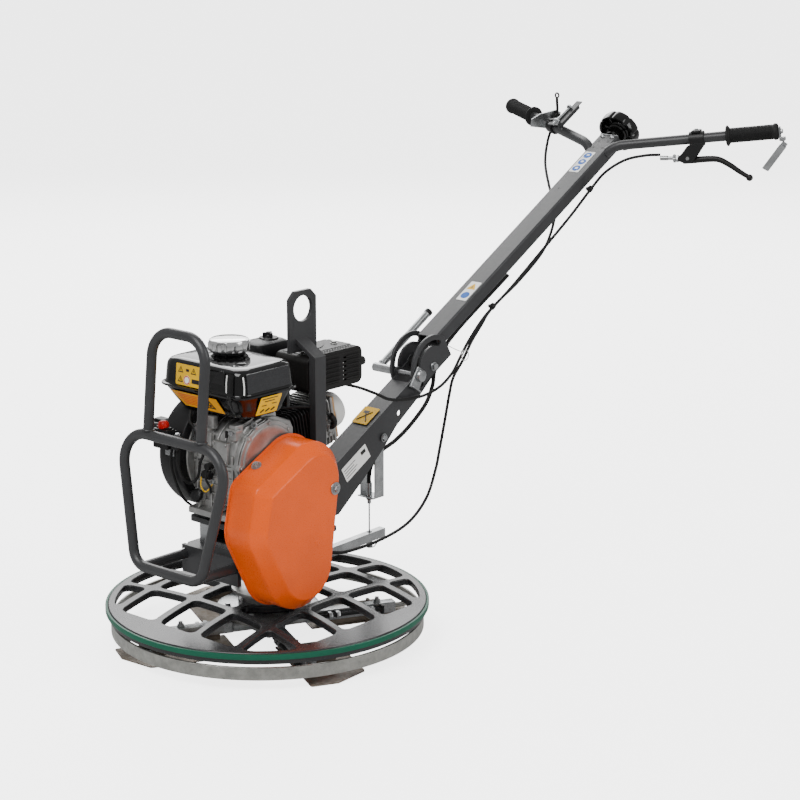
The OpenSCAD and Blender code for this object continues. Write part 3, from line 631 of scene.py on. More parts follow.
# ---------------------------------------------------------------- frame tubes
def make_front_hoop():
    lean = shift_by((-261, 0, 187)) @ turn_by(5.7, "Y")
    flat = lean @ YZ
    p = Piece(PAINT)
    corners = ((88, 0), (145, 250), (-145, 250), (-88, 0))
    p.at(flat).loop_tube(fillet_path([(a, b, 0) for a, b in corners], (35, 55, 55, 35), 14, closed=True), 10, 24)
    upper = ((70, 256), (70, 447), (-70, 447), (-70, 256))
    p.tube(fillet_path([(a, b, 0) for a, b in upper], (0, 48, 48, 0), 14), 9.8, 24)
    for side in (-1, 1):  # weld beads where the upper legs land
        p.lathe([(9.7, 0), (12.4, 0.4), (12.2, 2), (9.9, 3.6)], (side * 70, 258.5, 0),
            (0, 1, 0), 32, lambda a: 1 + 0.02 * sin(9 * a))
    p.at()
    for side in (-1, 1):
        p.tube([(-258, side * 68, 186.5), (-104, side * 68, 185.5)], 9.6, 24)
    p.done("front_hoop_tubes", "frame", ["front_hoop"], "frame_paint", crease=60)


# ---------------------------------------------------------------- fuel tank
def stack(piece, levels, cx, cy, n=10):
    """Rounded rectangles (half x, half y, corner, z) skinned from bottom to top."""
    piece.grid([[Vector((a, b, z)) for a, b in rounded(hx, hy, r, cx, cy, n)] for hx, hy, r, z in levels])


def label(piece, origin, right, up, size, material, lift=0.5):
    """Thin sticker with rounded corners; origin is its centre."""
    u, v = Vector(right).normalized(), Vector(up).normalized()
    n = u.cross(v)
    m = shift_by(Vector(origin) + n * lift)
    for k, axis in enumerate((u, v, n)):
        for row in range(3):
            m[row][k] = axis[row]
    piece.use(material).at(m)
    piece.grid([[Vector((a, b, z)) for a, b in rounded(size[0] / 2, size[1] / 2, 2, n=4)] for z in (-0.15, 0.15)])
    return m


def make_fuel_tank():
    p = Piece(GLOSS)

    def skin(levels, x, y):
        p.grid([[Vector((a, b, z)) for a, b in rounded(hx, hy, r, x, y + shift, 10)] for hx, hy, r, z, shift in levels])

    lower = [(50, 80, 22, 470, -9), (55, 86, 25, 471, -8), (59, 90, 27, 475, -7), (66, 97, 29, 488, -4),
        (73, 104, 31, 503, -1)]
    lower += [(78, 109.5, 32, 512, 0)]
    lip = [(82, 113.5, 33, 512.4, 0), (83.5, 115, 34, 513.4, 0), (83.5, 115, 34, 515.8, 0), (82.2, 113.7, 33, 517, 0)]
    upper = [(79, 110.5, 31, 517.2, 0), (77.4, 109, 30, 518.6, 0), (76.2, 108, 29, 522, 0),
        (73.6, 105.6, 27, 548, 0), (72.8, 104.8, 27, 553, 0)]
    upper += [(71, 103, 26, 558, 0), (67.4, 99.6, 25, 562, 0), (61, 93.4, 24, 564.8, 0), (50, 82.6, 22, 566, 0),
        (28, 60, 14, 566.8, 0)]
    skin(lower + lip + upper, -83.5, 11)
    # neck below the cap
    p.lathe([(43, 0), (43, 1.6), (41, 3.4), (33, 4.4), (30, 6), (30, 12)], (-68, 24, 564), (0, 0, 1), 64)
    p.lathe([(4, 0), (9, 0), (9, 2), (7, 3.6), (4, 4)], (-112, -52, 565.4), (0, 0, 1), 32)
    # strap mounts under the lip, front and belt side
    p.box((-152, 60, 498), (-146, 84, 512), 2)
    p.box((-34, -92, 476), (-26, -84, 513), 2)
    # blank dark panel and its frame on the belt side, raised field on the front
    p.use(PLATE).box((-141, -96.2, 521), (-31, -94.2, 558), 1.4, turn=turn_by(-5.2, "X"))
    p.use(GLOSS)
    arch = [(-55, 520), (-55, 543), (-50, 547), (-42, 546), (-34, 540), (-27, 530), (-23, 520)]
    lean = shift_by((0, 0, 518)) @ turn_by(5.2, "Y") @ shift_by((0, 0, -518))
    wall = lean @ Matrix(((0, 0, -1, 0), (1, 0, 0, 0), (0, 1, 0, 0), (0, 0, 0, 1)))
    p.plate(arch, [], 159.2, 161.4, wall, 1, 3)
    p.at().done("tank_shell", "frame", ["fuel_tank"], "gloss_black", crease=40)

    c = Piece(CHROME)

    def scallop(a):
        return 1 - 0.055 * max(0.0, cos(12 * a)) ** 3

    neck = (-68, 24, 0)
    skirt = [(33, 574), (37.5, 574.4), (39.4, 576), (40, 579), (40, 589), (39, 592)]
    c.lathe(skirt, neck, n=144, shape=scallop)
    c.lathe([(38.4, 589), (38.4, 592.4), (37, 595.4), (34, 597.4), (24, 599.2), (10, 599.9), (0.5, 600)], neck, n=72)
    c.use(GLOSS).lathe([(26, 565.4), (33, 565.4), (33, 568), (31, 569), (31, 576), (26, 576)], neck, n=72)
    c.done("fuel_cap_chrome", "fuel_cap", ["fuel_cap"], "chrome", crease=30)

    s = Piece(YELLOW)

    def warning(m, x, y, size=7):
        s.use(PRINT_AND_SHADE).at(m @ shift_by((x, y, 0.2)))
        tri = [Vector((0, size, 0)), Vector((-size * 1.05, -size * 0.75, 0)), Vector((size * 1.05, -size * 0.75, 0))]
        s.grid([tri, [v + Vector((0, 0, 0.12)) for v in tri]])
        inner = [v * 0.58 + Vector((0, 0, 0.13)) for v in tri]
        s.use(YELLOW).grid([inner, [v + Vector((0, 0, 0.12)) for v in inner]])
        s.use(PRINT_AND_SHADE).box((-0.8, -2, 0.2), (0.8, 2.4, 0.4), 0)

    m = label(s, (-159.4, 38.5, 539), (0, -1, 0), (0.09, 0, 0.995), (67, 40), YELLOW, 0.7)
    for x, y in ((-21, 9), (13, 9), (-21, -9)):
        warning(m, x, y)
    s.use(WHITE).at(m).lathe([(0.3, 0.3), (8.4, 0.3), (8.4, 0), (0.3, 0)], (-4, -9, 0.2), n=28)
    s.use(RED).lathe([(6, 0.36), (8, 0.36), (8, 0), (6, 0), (6, 0.36)], (-4, -9, 0.2), n=28)
    s.use(PRINT_AND_SHADE).box((-7, 7, 0.2), (1, 12, 0.35), 0)
    s.box((9, -13, 0.2), (28, -5, 0.35), 0)
    # large sheet on the slanting front, wider at the top
    sheet = [(-52, 16.5), (69, 16.5), (79, -15.5), (-26, -15.5)]
    m = label(s, (-152.6, 35, 491.5), (0, -1, 0), (-0.43, 0, 0.903), (1, 1), AMBER, 0.3)
    s.use(AMBER).grid([[Vector((a, b, z)) for a, b in sheet] for z in (0.9, 1.2)])
    s.use(RED)
    for k in range(6):
        s.box((-38 + 3 * k, 10 - 4 * k, 1.1), (22 - 2 * (k % 3), 11.4 - 4 * k, 1.35), 0)
    s.use(PRINT_AND_SHADE).grid([[Vector((46, 10, z)), Vector((35, -9, z)), Vector((59, -9, z))] for z in (1.2, 1.4)])
    s.use(AMBER).grid([[Vector((46, 4, z)), Vector((40, -6, z)), Vector((53, -6, z))] for z in (1.4, 1.5)])
    s.use(PRINT_AND_SHADE).box((43, -5, 1.4), (49, 0, 1.6), 0)
    m = label(s, (-84, -93.5, 492), (1, 0, 0), (0, -0.40, 0.917), (55, 40), YELLOW, 0.3)
    s.use(PRINT_AND_SHADE)
    for x, y, w in ((-22, 14, 40), (-14, 8, 26), (-18, -1, 12), (8, 0, 12)):
        s.box((x, y, 0.2), (x + w, y + 2, 0.4), 0)
    for k in range(3):
        s.tube([(-18 + 14 * k, -14, 0.3), (-10 + 14 * k, -9, 0.3)], 1.6, 6)
    # painted highlights: bright vertical strips either side of the front corner, for light caught on the corner's two
    # ridges
    s.use(WHITE).at()
    for x, y in ((-159.4, -60), (-150, -96.6)):
        s.tube(smooth_path([(x + 2.4 * (y > -90), y + 2.4 * (y < -90), 555), (x + 0.6, y + 0.4, 538),
            (x - 0.4, y - 0.4, 522)], 5), 1.3, 8)
    s.at().done("tank_labels_and_painted_highlights", "frame", slot="gloss_black")


# ---------------------------------------------------------------- engine
CRANK = joint_pos("crank_spin")
CYL = shift_by((CRANK.x, -10, CRANK.z)) @ turn_by(-10, "Y")


def bolts(piece, spots, axis, size, washer=False):
    for spot in spots:
        piece.bolt(spot, axis, size, washer)


def slab_x(piece, outline, x0, x1, place, bevel=0.8):
    """Plate of a (Y, Z) outline between two X planes of a frame."""
    piece.at().plate(outline, [], x0, x1, place @ YZ, bevel)


def slab_along_y(piece, outline, y0, y1, bevel=1.0, holes=()):
    """Plate of an (X, Z) outline between two Y planes."""
    piece.at().plate(outline, list(holes), -y1, -y0, XZ, bevel)


def make_crankcase():
    p = Piece(CAST)
    cx, cz = CRANK.x, CRANK.z
    body = [(-146, 288), (-146, 408), (-138, 430), (-116, 450), (-80, 460), (-40, 457), (2, 440), (10, 425), (10, 288)]
    slab_along_y(p, body, -66, 44, 4)
    foot = [(-164, 276), (-164, 287), (-146, 289), (20, 289), (25, 286), (25, 276)]
    slab_along_y(p, foot, -70, 44, 2)
    for y in (-64, -22, 20):  # webs between the foot and the wall
        slab_along_y(p, [(-160, 285), (-144, 285), (-144, 316)], y, y + 5, 1)
    # long low ribs round the sump, split by the joint line
    for z in (301, 318, 335, 352, 366):
        p.box((-149.5, -62, z), (-144, 40, z + 3), 1.2)
        p.box((-142, -68.5, z), (-100, -62, z + 3), 1.2)
    for y in (-63, -40, -6, 30):
        p.box((-150.5, y, 292), (-144, y + 4, 400), 1.4)
    p.box((-149, -64, 372), (-143, 42, 377), 1)
    p.box((-153, -52, 380), (-142, -12, 424), 3)
    p.box((-151, -8, 382), (-142, 14, 436), 3)
    p.box((-152, 18, 380), (-142, 40, 428), 3)
    spots = [(-152.6, y, z) for y, z in ((-47, 386), (-17, 386), (-47, 419), (-17, 419), (30, 388), (30, 421))]
    bolts(p, spots, (-1, 0, 0), 4.2)
    # bosses and lugs that carry the tank
    p.box((-146, -68, 428), (-124, -50, 458), 3)
    p.box((-150, -74, 446), (-136, -46, 452), 2)
    p.box((-144, -8, 440), (-130, 12, 466), 4)
    p.box((-70, -60, 448), (-52, -44, 468), 4)
    p.box((-70, -60, 440), (-30, -30, 462), 3)
    for k in range(6):
        y = -58 + 19 * k
        slab_along_y(p, [(-144, 424), (-138, 434), (-116, 454), (-88, 462), (-92, 450), (-130, 420)], y, y + 3, 1)
    # side cover with its flange, ribs and bolt bosses
    def lobed(r, lift):
        return [
            (cx + k * cos(rad(a)), cz + k * sin(rad(a)))
            for a in range(0, 360, 4)
            for k in (r + lift * max(0.0, cos(rad(8 * a))) ** 6,)
        ]

    slab_along_y(p, lobed(78, 4), -74, -64, 1.5)
    slab_along_y(p, lobed(77, 4), -79, -74.6, 1.6)
    dome = [(21, -4), (76, -4), (76, 0), (70, 0.5), (68, 2.5), (60, 2.8), (56, 0.8), (40, 0.8), (36, 2.6), (21, 2.8)]
    p.lathe(dome, (cx, -79, cz), (0, -1, 0), 96)
    for k in range(8):
        a = rad(45 * k)
        x, z = cx + 73 * cos(a), cz + 73 * sin(a)
        p.rod((x, -62, z), (x, -79.6, z), 7.5, 1)
        p.bolt((x, -79.4, z), (0, -1, 0), 4.2, washer=False)
    # filler plug, drain bolt, lifting eye
    p.rod((-148, 22, 306), (-160, 22, 311), 11, 2)
    p.use(BLACK).lathe([(3, 0), (12, 0), (12.5, 2), (12.5, 8), (10, 10), (3, 10.5)], (-158, 22, 310),
        (-0.9, 0, 0.43), 36, lambda a: 1 + 0.05 * cos(12 * a))
    p.use(ZINC).bolt((-149, -34, 298), (-1, 0, 0), 8)
    p.bolt((-157, -21, 288), (0, 0, 1), 7)
    p.loop_tube([(-104, -75 + 5.5 * cos(a / 4), 452 + 7 * sin(a / 4)) for a in range(25)], 2.2, 8)
    p.tube([(-104, -75, 445), (-96, -70, 436), (-84, -66, 432)], 3, 10)
    p.bolt((-147, -59, 444), (-0.9, -0.4, 0), 6)
    # flat tie bracket with two bolts, plated
    p.box((-156, 12, 396), (-153.4, 38, 448), 1)
    for z in (406, 438):
        p.bolt((-156, 25, z), (-1, 0, 0), 5.5)
    p.use(PRINT_AND_SHADE).box((-150.6, -48, 432), (-145.4, -44.5, 446), 0.5)
    p.done("crankcase_casting", "frame", ["crankcase", "engine_side_cover"], "cast_alloy")


def make_cylinder():
    p = Piece(HOT)
    p.at(CYL).lathe([(42, 78.8), (42, 154.6)], axis=(1, 0, 0), n=64)
    p.use(FIN)
    for k in range(9):
        x = 81 + 8.2 * k
        slab_x(p, rounded(46.6, 49.6, 14, n=6), x, x + 2.4, CYL, 0.9)
    p.use(HOT).at(CYL).box((78.8, -44, -42), (82, 44, 42), 1.2)
    for y, z in ((-34, 36), (34, 36), (-34, -36), (34, -36)):
        p.at(CYL).rod((79, y, z), (154, y, z), 6.5)
    p.at().done("finned_barrel", "frame", ["finned_cylinder"], "black_metal")

    h = Piece(CAST)
    h.at(CYL).box((155.2, -37, -37), (207, 37, 37), 5)
    for k in range(5):
        x = 157.4 + 9.4 * k
        slab_x(h, rounded(46.6 - 0.6 * max(0, k - 3), 49, 13, n=6), x, x + 2.8, CYL, 0.9)
    h.at(CYL).box((204, -44, -46), (211, 44, 46), 3)
    for y, z in ((-30, 32), (30, 32), (-30, -30), (30, -30)):
        h.at(CYL).rod((156, y, z), (207, y, z), 7.5)
    # spark plug boss, exhaust flange, pushrod tunnel
    h.at(CYL).rod((188, -34, -6), (194, -47, -10), 12)
    h.rod((160, -30, -40), (207, -30, -40), 9)
    h.box((176, -46, -30), (202, -38, 4), 2)
    bolts(h, [(189, -46, z) for z in (-24, -2)], (0, -1, 0), 5)
    h.use(GASKET).at(CYL).box((211.2, -40, -42), (219, 40, 42), 2)
    h.at().done("cylinder_head_casting", "frame", ["cylinder_head"], "cast_alloy")

    r = Piece(COVER_GREY)
    dome = [(36, 219.2), (40.5, 219.4), (41, 221), (40, 222.6), (38, 224), (37.6, 238), (36.4, 246), (33, 252.6),
        (27, 257.6), (17, 261.4), (6, 262.8), (0.5, 263)]
    r.at(CYL).lathe(dome, axis=(1, 0, 0), n=72)
    r.use(ZINC)
    bolts(r, [(222, y, z) for z in (30, -30) for y in (-30, 30)], (1, 0, 0), 4.2)
    r.at().done("rocker_dome", "frame", ["rocker_cover"], "cast_alloy")

    s = Piece(BLACK)
    s.at(CYL).tube(smooth_path([(191, -47, -9), (194, -54, -6), (195, -57, 4), (188, -56, 18)], 6), 6, 16)
    s.tube(smooth_path([(190, -56, 14), (170, -54, 34), (140, -46, 52), (100, -20, 60), (60, 10, 64),
        (0, 50, 40)], 8), 3, 12)
    s.use(WHITE).rod((191, -46, -9), (193, -50, -8), 5)
    s.at().done("spark_plug_and_lead", "frame", slot="black_rubber")


def make_muffler():
    p = Piece(HOT)
    x0, x1, z0, z1, y0, y1 = 60, 213, 475, 549, -57, 30
    wall = 1.6
    cx, cz = (x0 + x1) / 2, (z0 + z1) / 2
    # wrap-round skin with rounded corners, faces front and back
    outline = rounded((x1 - x0) / 2, (z1 - z0) / 2, 14, cx, cz, 8)
    inner = rounded((x1 - x0) / 2 - wall, (z1 - z0) / 2 - wall, 12.5, cx, cz, 8)
    slab_along_y(p, outline, y0 + 1.6, y1, 0.3, [inner])
    slots = [rounded(24, 1.6, 1.5, x, z0 + 13 + 8.8 * row, 4) for row in range(6) for x in (122, 184)]
    slab_along_y(p, outline, y0, y0 + 1.6, 0.7, slots)
    slab_along_y(p, outline, y1 - 1.6, y1, 0.6)
    for row in range(6):  # long pressed ribs over the slots
        z = z0 + 13 + 8.8 * row
        for a, b in ((72, 150), (168, 206)):
            p.tube([(a, y0 + 0.4, z), (a + 3, y0 - 1.3, z + 1.2), (b - 3, y0 - 1.3, z + 1.2),
                (b, y0 + 0.4, z)], 1.7, 10)
    p.box((66, y0 - 1.2, z1 - 9), (207, y0 + 1, z1 - 6.5), 1)
    # painted glints: five small light metal dots on the front face
    p.use(GLINT)
    for k in range(5):
        p.lathe([(0.2, 0.3), (0.9, 0.3), (1.2, 0), (0.2, 0)], (159.3, y0, 490 + 8 * k), (0, -1, 0), 14)
    # perforated strips along the upper edges
    p.use(HOT)
    for k in range(17):
        x = x0 + 16 + 7.5 * k
        for y in (y0 + 7, y0 + 13.5):
            p.lathe([(2.5, 0), (2.5, 0.7), (1.5, 0.9), (1.5, 0.1)], (x, y, z1 - 0.1), (0, 0, 1), 10)
    p.box((x0 + 12, y0 + 20, z1 - 0.4), (x1 - 10, y1 - 8, z1 + 1), 0.8)
    p.rod((212, -20, 512), (226, -20, 511), 8, 1)
    p.pipe((213, -42, 513), (231, -42, 512.4), 9, 7)
    # painted shade: a black plug fills the outlet bore
    p.use(PRINT_AND_SHADE).rod((214, -42, 513), (229, -42, 512.5), 6.8, 0.1)
    p.use(STEEL)
    for x in (x0 + 30, x1 - 32):
        p.bolt((x, -12, z1 + 1), (0, 0, 1), 6.2)
    p.use(PRINT_AND_SHADE).tube(smooth_path([(96, -14, z1 + 1), (118, -20, z1 + 1.4), (142, -16, z1 + 1.4),
        (160, -4, z1 + 1)], 6), 1.1, 8)
    p.done("muffler_shield", "frame", ["muffler_guard"], "black_metal")
    m = Piece(HOT)
    m.lathe([(16, -52), (29, -52), (31, -49), (31, 17), (29, 20), (16, 20)], (136, 0, 512), (0, 1, 0), 64)
    m.tube([(130, -20, 466), (131, -20, 478), (133, -20, 492)], 11.8, 24)
    m.lathe([(11, 0), (19, 0), (19, 4), (11, 4)], (130, -20, 468), (0.1, 0, 1), 32)
    m.done("muffler_can", "frame", ["muffler"], "black_metal")


def make_air_intake():
    p = Piece(BLACK)
    levels = [(42, 28, 10, 490), (44, 30, 12, 491.5), (44, 30, 12, 526), (46, 32, 13, 527.5), (46, 32, 13, 532)]
    levels += [(44.5, 30.5, 13, 533.5), (43.4, 29.4, 12, 553), (41.5, 27.5, 12, 559), (36, 22, 10, 562),
        (18, 10, 6, 563.4)]
    stack(p, levels, 78, 76)
    p.lathe([(4, 0), (19, 0), (19.5, 1.5), (18, 3.4), (9, 4.6), (6, 7), (5, 9)], (90, 76, 562), n=40)
    for k in range(3):
        p.at(shift_by((90, 76, 0)) @ turn_by(120 * k + 20, "Z")).box((2, -2.6, 566), (12, 2.6, 575), 1.8)
    p.at().rod((90, 76, 566), (90, 76, 576), 5.4, 1.5)
    for k in range(3):
        p.box((120, 56 + 14 * k, 496), (123.4, 60 + 14 * k, 524), 1)
    p.use(CAST)
    p.box((58, 48, 436), (112, 96, 472), 4)
    p.rod((85, 72, 468), (85, 72, 491), 18)
    p.rod((90, 34, 455), (90, 50, 455), 15)
    p.rod((78, 84, 410), (78, 84, 438), 17, 3)
    p.bolt((78, 84, 410), (0, 0, -1), 7)
    p.rod((60, 60, 452), (40, 60, 452), 7)
    p.use(ZINC).tube(smooth_path([(112, 60, 462), (126, 58, 466), (142, 56, 462), (156, 54, 452)], 6), 1.4, 10)
    p.box((112, 98, 440), (130, 101, 472), 0.8)
    p.done("air_cleaner_and_carburettor", "frame", ["air_intake"], "black_plastic")


def make_shroud():
    cx, cz = CRANK.x, CRANK.z
    p = Piece(BLACK)
    # fan housing: turned shell, open to the front of the crankcase
    shell = [(86, 46), (106, 46), (110, 48), (111.5, 52), (111.5, 96), (108, 104), (100, 109), (78, 110), (64, 110),
        (62, 108), (62, 106), (98, 106), (106, 100), (108, 94), (108, 52), (104, 49), (86, 49), (86, 46)]
    p.lathe(shell, (cx, 0, cz), (0, 1, 0), 96)
    p.box((cx + 20, 52, 470), (60, 100, 482), 3)
    p.box((cx + 80, 50, 420), (58, 98, 474), 6)
    p.use(CAST).lathe([(40, 44.4), (92, 44.4), (94, 46), (92, 47.2), (40, 47.2)], (cx, 0, cz), (0, 1, 0), 72)
    # switch box and its bracket, riding with the shroud
    p.use(BLACK)
    p.box((-206, 52, 402), (-184, 92, 440), 3)
    p.box((-200, 56, 438), (-188, 88, 443), 1.5)
    p.box((-186, 58, 408), (-172, 86, 434), 2)
    p.box((-200, 30, 404), (-186, 50, 430), 2.5)
    p.use(ZINC)
    p.box((-182, 60, 384), (-179, 84, 410), 0.8)
    p.bolt((-190, 40, 430), (-0.3, 0, 1), 5)
    p.done("fan_housing", "frame", ["fan_shroud"], "black_plastic")

    r = Piece(BLACK)
    rec = [(40, 111), (74, 111), (76, 113), (76, 134), (73, 140), (66, 144), (52, 146.5), (30, 147), (12, 147),
        (0.5, 147)]
    r.lathe(rec, (cx, 0, cz), (0, 1, 0), 96)
    for k in range(16):
        a = rad(22.5 * k)
        c, s = cos(a), sin(a)
        m = shift_by((cx + 52 * c, 146.6, cz + 52 * s)) @ Matrix.Rotation(-a, 4, "Y")
        r.at(m).box((-11, -0.6, -1.6), (11, 1.4, 1.6), 0.6)
    r.at()
    r.lathe([(0.5, 0), (22, 0), (24, 1), (24, 3), (20, 4), (0.5, 4.2)], (cx, 146.5, cz), (0, 1, 0), 48)
    r.use(ZINC)
    for k in range(4):
        a = rad(45 + 90 * k)
        r.bolt((cx + 70 * cos(a), 112, cz + 70 * sin(a)), (0, 1, 0), 5)
    r.use(BLACK).box((-160, 112, 418), (-138, 140, 442), 4)
    r.done("recoil_cover", "frame", ["recoil_housing"], "black_plastic")

    g = Piece(BLACK)
    grip = [(3, -17), (7, -17), (9, -14), (8, -6), (7.6, 0), (8, 6), (9, 14), (7, 17), (3, 17)]
    g.at(shift_by((-170, 126, 430))).lathe(grip, axis=(0, 1, 0), n=32)
    g.at().rod((-166, 126, 430), (-156, 126, 430), 5)
    g.use(WHITE).rod((-156, 126, 430), (-24, 126, 430), 2, 0.3, 12)
    g.done("starter_grip_and_cord", "starter_handle", ["starter_handle"], "black_plastic")

    k = Piece(RED)
    lo = box_mm("stop_switch")[0]
    k.lathe([(3, 0), (9.4, 0), (10.6, 1.4), (10.8, 5), (10.2, 8.4), (8.4, 11.4), (5, 13.4), (0.5, 14)],
        (-195.5, 72, lo.z + 2), (0, 0, 1), 40)
    k.rod((-195.5, 72, lo.z), (-195.5, 72, lo.z + 3), 6)
    k.done("stop_button", "stop_switch", ["stop_switch"], "red_plastic")


def make_wiring():
    p = Piece(RUBBER)
    front = [
        ([(-192, 40, 405), (-196, 36, 380), (-190, 30, 352), (-176, 24, 338), (-166, 14, 350), (-168, 4, 380),
            (-160, 0, 400)], 2.6),
        ([(-186, 60, 404), (-188, 62, 370), (-176, 62, 330), (-164, 56, 300), (-150, 50, 284)], 2.6),
        ([(-160, -6, 372), (-168, -10, 352), (-164, -16, 336), (-156, -10, 322)], 2.2),
        ([(-150, 46, 470), (-158, 40, 452), (-156, 30, 440), (-148, 20, 430)], 3.2),
    ]
    for points, r in front:
        p.tube(smooth_path(points, 8), r, 12)
    p.rod((-163, -6, 372), (-150, -6, 372), 7, 2)
    p.rod((-159, 6, 356), (-159, -14, 356), 8, 2)
    p.use(YELLOW).tube(smooth_path([(-160, 10, 352), (-164, 8, 334), (-163, -2, 324), (-160, -12, 332),
        (-158, -20, 346)], 8), 1.3, 10)
    p.use(ZINC).bolt((-158, -20, 346), (-1, 0, 0), 5)
    p.done("engine_wiring", "frame", slot="black_rubber")


# ---------------------------------------------------------------- handle
HANDLE_ANGLE = 29.4  # degrees above level
HANDLE = shift_by(joint_pos("handle_fold")) @ turn_by(-HANDLE_ANGLE, "Y")
TUBE_END = 755


def bar_frame(side):
    """X along a handlebar, Z up; side is -1 for the belt side."""
    turn = turn_by(side * 65.7, "Z") @ turn_by(4.94, "Y")
    return HANDLE @ shift_by((717, side * 30, 44.5)) @ turn @ turn_by(side * 26.8, "X")


def make_upper_tube():
    p = Piece(PAINT)
    p.at(HANDLE)
    # square tube with its rounded corners, skinned outside and inside
    outer = [Vector((40, a, b)) for a, b in rounded(25, 15, 4, 0, 29, 5)]
    inner = [Vector((40, a, b)) for a, b in rounded(22, 12, 1.5, 0, 29, 5)]
    run = Vector((TUBE_END - 40, 0, 0))
    p.grid([outer, [v + run for v in outer], [v + run for v in inner], inner, outer], caps=(False, False))
    # painted shade: black discs stand for four holes near the end and one further back
    p.use(PRINT_AND_SHADE)
    for x, y, r, n in ((708, -12, 3.3, 20), (708, 12, 3.3, 20), (732, -12, 3.3, 20), (732, 12, 3.3, 20),
        (555, 5, 2.4, 16)):
        p.lathe([(0.3, 0), (r, 0), (r, 0.25), (0.3, 0.3)], (x, y, 44), n=n)
    p.use(BLACK).box((TUBE_END - 14, -21.9, 17.1), (TUBE_END - 2, 21.9, 40.9), 1)
    # plated angle that closes the end
    p.use(ZINC).box((TUBE_END, -24, 8), (TUBE_END + 2.4, 24, 45), 0.8)
    p.at().done("handle_tube", "handle", ["upper_tube"], "frame_paint")


def make_hinge():
    """Slotted half-round side plates in the handle's frame, pivot bolts and the clamp lever."""
    p = Piece(PAINT)
    side = HANDLE @ XZ
    outline = arc(0, 0, 66, 30.3, 193.1, 60) + [(57, -15)]
    start, end = 40.2, 191.2
    slot_r, half_wide = 49, 5.7
    slot = arc(0, 0, slot_r + half_wide, start, end, 30)
    slot += arc(slot_r * cos(rad(end)), slot_r * sin(rad(end)), half_wide, end, end + 180, 8)
    slot += arc(0, 0, slot_r - half_wide, end, start, 30)
    slot += arc(slot_r * cos(rad(start)), slot_r * sin(rad(start)), half_wide, start + 180, start + 360, 8)
    for y in (-31.4, 25.4):
        p.at().plate(outline, [slot], -y - 6, -y, side, 1.2)
    p.at(HANDLE).tube([(44, -26, 17), (56, -26, 17)], 1.6, 10)
    p.at().done("hinge_side_plates", "handle", ["hinge_plates"], "frame_paint")

    b = Piece(ZINC)
    b.at(HANDLE)
    for s in (-1, 1):
        b.bolt((0, s * 31.6, 0), (0, s, 0), 8.6)
    b.rod((0, -31, 0), (0, 31, 0), 7.9)
    b.use(HOT).pipe((0, -25, 0), (0, 25, 0), 17, 8.1)
    b.use(ZINC)
    b.at()
    for s in (-1, 1):
        b.bolt((310, s * 28.2, 336), (0, s, 0), 7.5, washer=False)
        b.lathe([(6, 0), (8.6, 0.2), (8.6, 0.8), (6, 1)], (310, s * 28.2, 336), (0, s, 0), 32)
    b.rod((310, -28, 336), (310, 28, 336), 5)
    b.done("joint_fasteners", "frame", ["joint_bolts"], "zinc")

    # clamp: domed bolt through a tilted square plate, T lever on the far side
    c = Piece(ZINC)
    c.at(HANDLE @ shift_by((-47, 0, 15)) @ turn_by(62, "Y"))
    c.box((-16, -36.4, -30), (13, -32.4, 14), 0.9)
    c.box((-16, -44, -31), (13, -32.6, -28), 0.9)
    c.lathe([(12, 0), (13, 0.8), (13, 4), (11.6, 6.6), (7, 8.4), (0.5, 9)], (0, -36.4, 0), (0, -1, 0), 40)
    c.at(HANDLE)
    c.rod((-47, -36, 15), (-47, 34, 15), 5)
    c.pipe((-47, 33, 15), (-47, 88, 15), 9, 5.5)
    c.rod((-47, 34, 15), (-47, 86, 15), 5.4)
    c.tube([(-45, 75, 15), (128, 75, 18)], 7.5, 32)
    c.lathe([(7.6, 0), (9.4, 0.4), (9.6, 1.6), (8, 3)], (-36.5, 75, 15.1),
        (1, 0, 0), 32, lambda a: 1 + 0.03 * sin(7 * a))
    c.use(BLACK).rod((127, 75, 18), (138, 75, 18.2), 8.4, 2)
    c.at().done("clamp_handle", "clamp_lever", ["clamp_lever"], "zinc")


def make_handlebars():
    p = Piece(PAINT)
    for s in (-1, 1):
        p.at(bar_frame(s)).tube([(-13, 0, -15), (-4, 0, -9), (8, 0, -3), (24, 0, 0), (365, 0, 0)], 11, 28)
    p.use(ZINC).at(HANDLE)
    for y in (-13, 13):
        p.lathe([(0.5, 4.2), (2.6, 3.8), (4.6, 2.4), (5.5, 0.6), (5.5, 0), (0.5, 0)], (749, y, 44.1), n=28)
    p.at().done("handlebar_tubes", "handle", ["handlebars"], "frame_paint")

    g = Piece(RUBBER)
    for s in (-1, 1):
        g.at(bar_frame(s))
        profile = [(11.2, 257), (21, 257), (22.5, 258.2), (22.5, 260.6), (20, 262), (16.6, 264.5)]
        x = 266
        while x < 356:
            profile += [(15.6, x), (16.5, x + 0.7), (16.6, x + 1.7), (15.6, x + 2.4)]
            x += 3
        profile += [(16.4, 359), (18, 360.5), (18.2, 364), (17, 367.5), (13, 369), (0.5, 369.2)]
        g.lathe(profile, axis=(1, 0, 0), n=48)
    g.at().done("rubber_grips", "handle", ["grips"], "black_rubber", crease=50)


def make_knob():
    p = Piece(GLOSS)
    hub = HANDLE @ shift_by((795, 0, 30))
    p.at(hub)

    def lobes(a):
        return 1 - 0.055 * max(0.0, cos(8 * a)) ** 8

    p.lathe([(8, -34), (17, -34), (18, -32), (18, -20), (20, -16), (20, -14), (23, -12), (23, -8), (27, -5), (30, 2),
        (8, 2)], axis=(1, 0, 0), n=56)
    bowl = [(8, 4), (28, 2), (34, -1), (37.5, -6), (39, -13), (41, -15.5), (45, -15), (46.5, -11), (47, 2), (45, 9),
        (38, 12.5), (20, 14), (0.5, 14.4)]
    p.lathe(bowl, axis=(1, 0, 0), n=120, shape=lobes)
    for k in range(8):
        p.at(hub @ turn_by(45 * k + 22, "X")).box((-6, 22, -1.2), (4, 38, 1.2), 0.5)
    p.use(ZINC).at(HANDLE).rod((560, 0, 30), (762, 0, 30), 5)
    p.at().done("pitch_hand_wheel", "pitch_knob", ["pitch_knob"], "black_plastic")


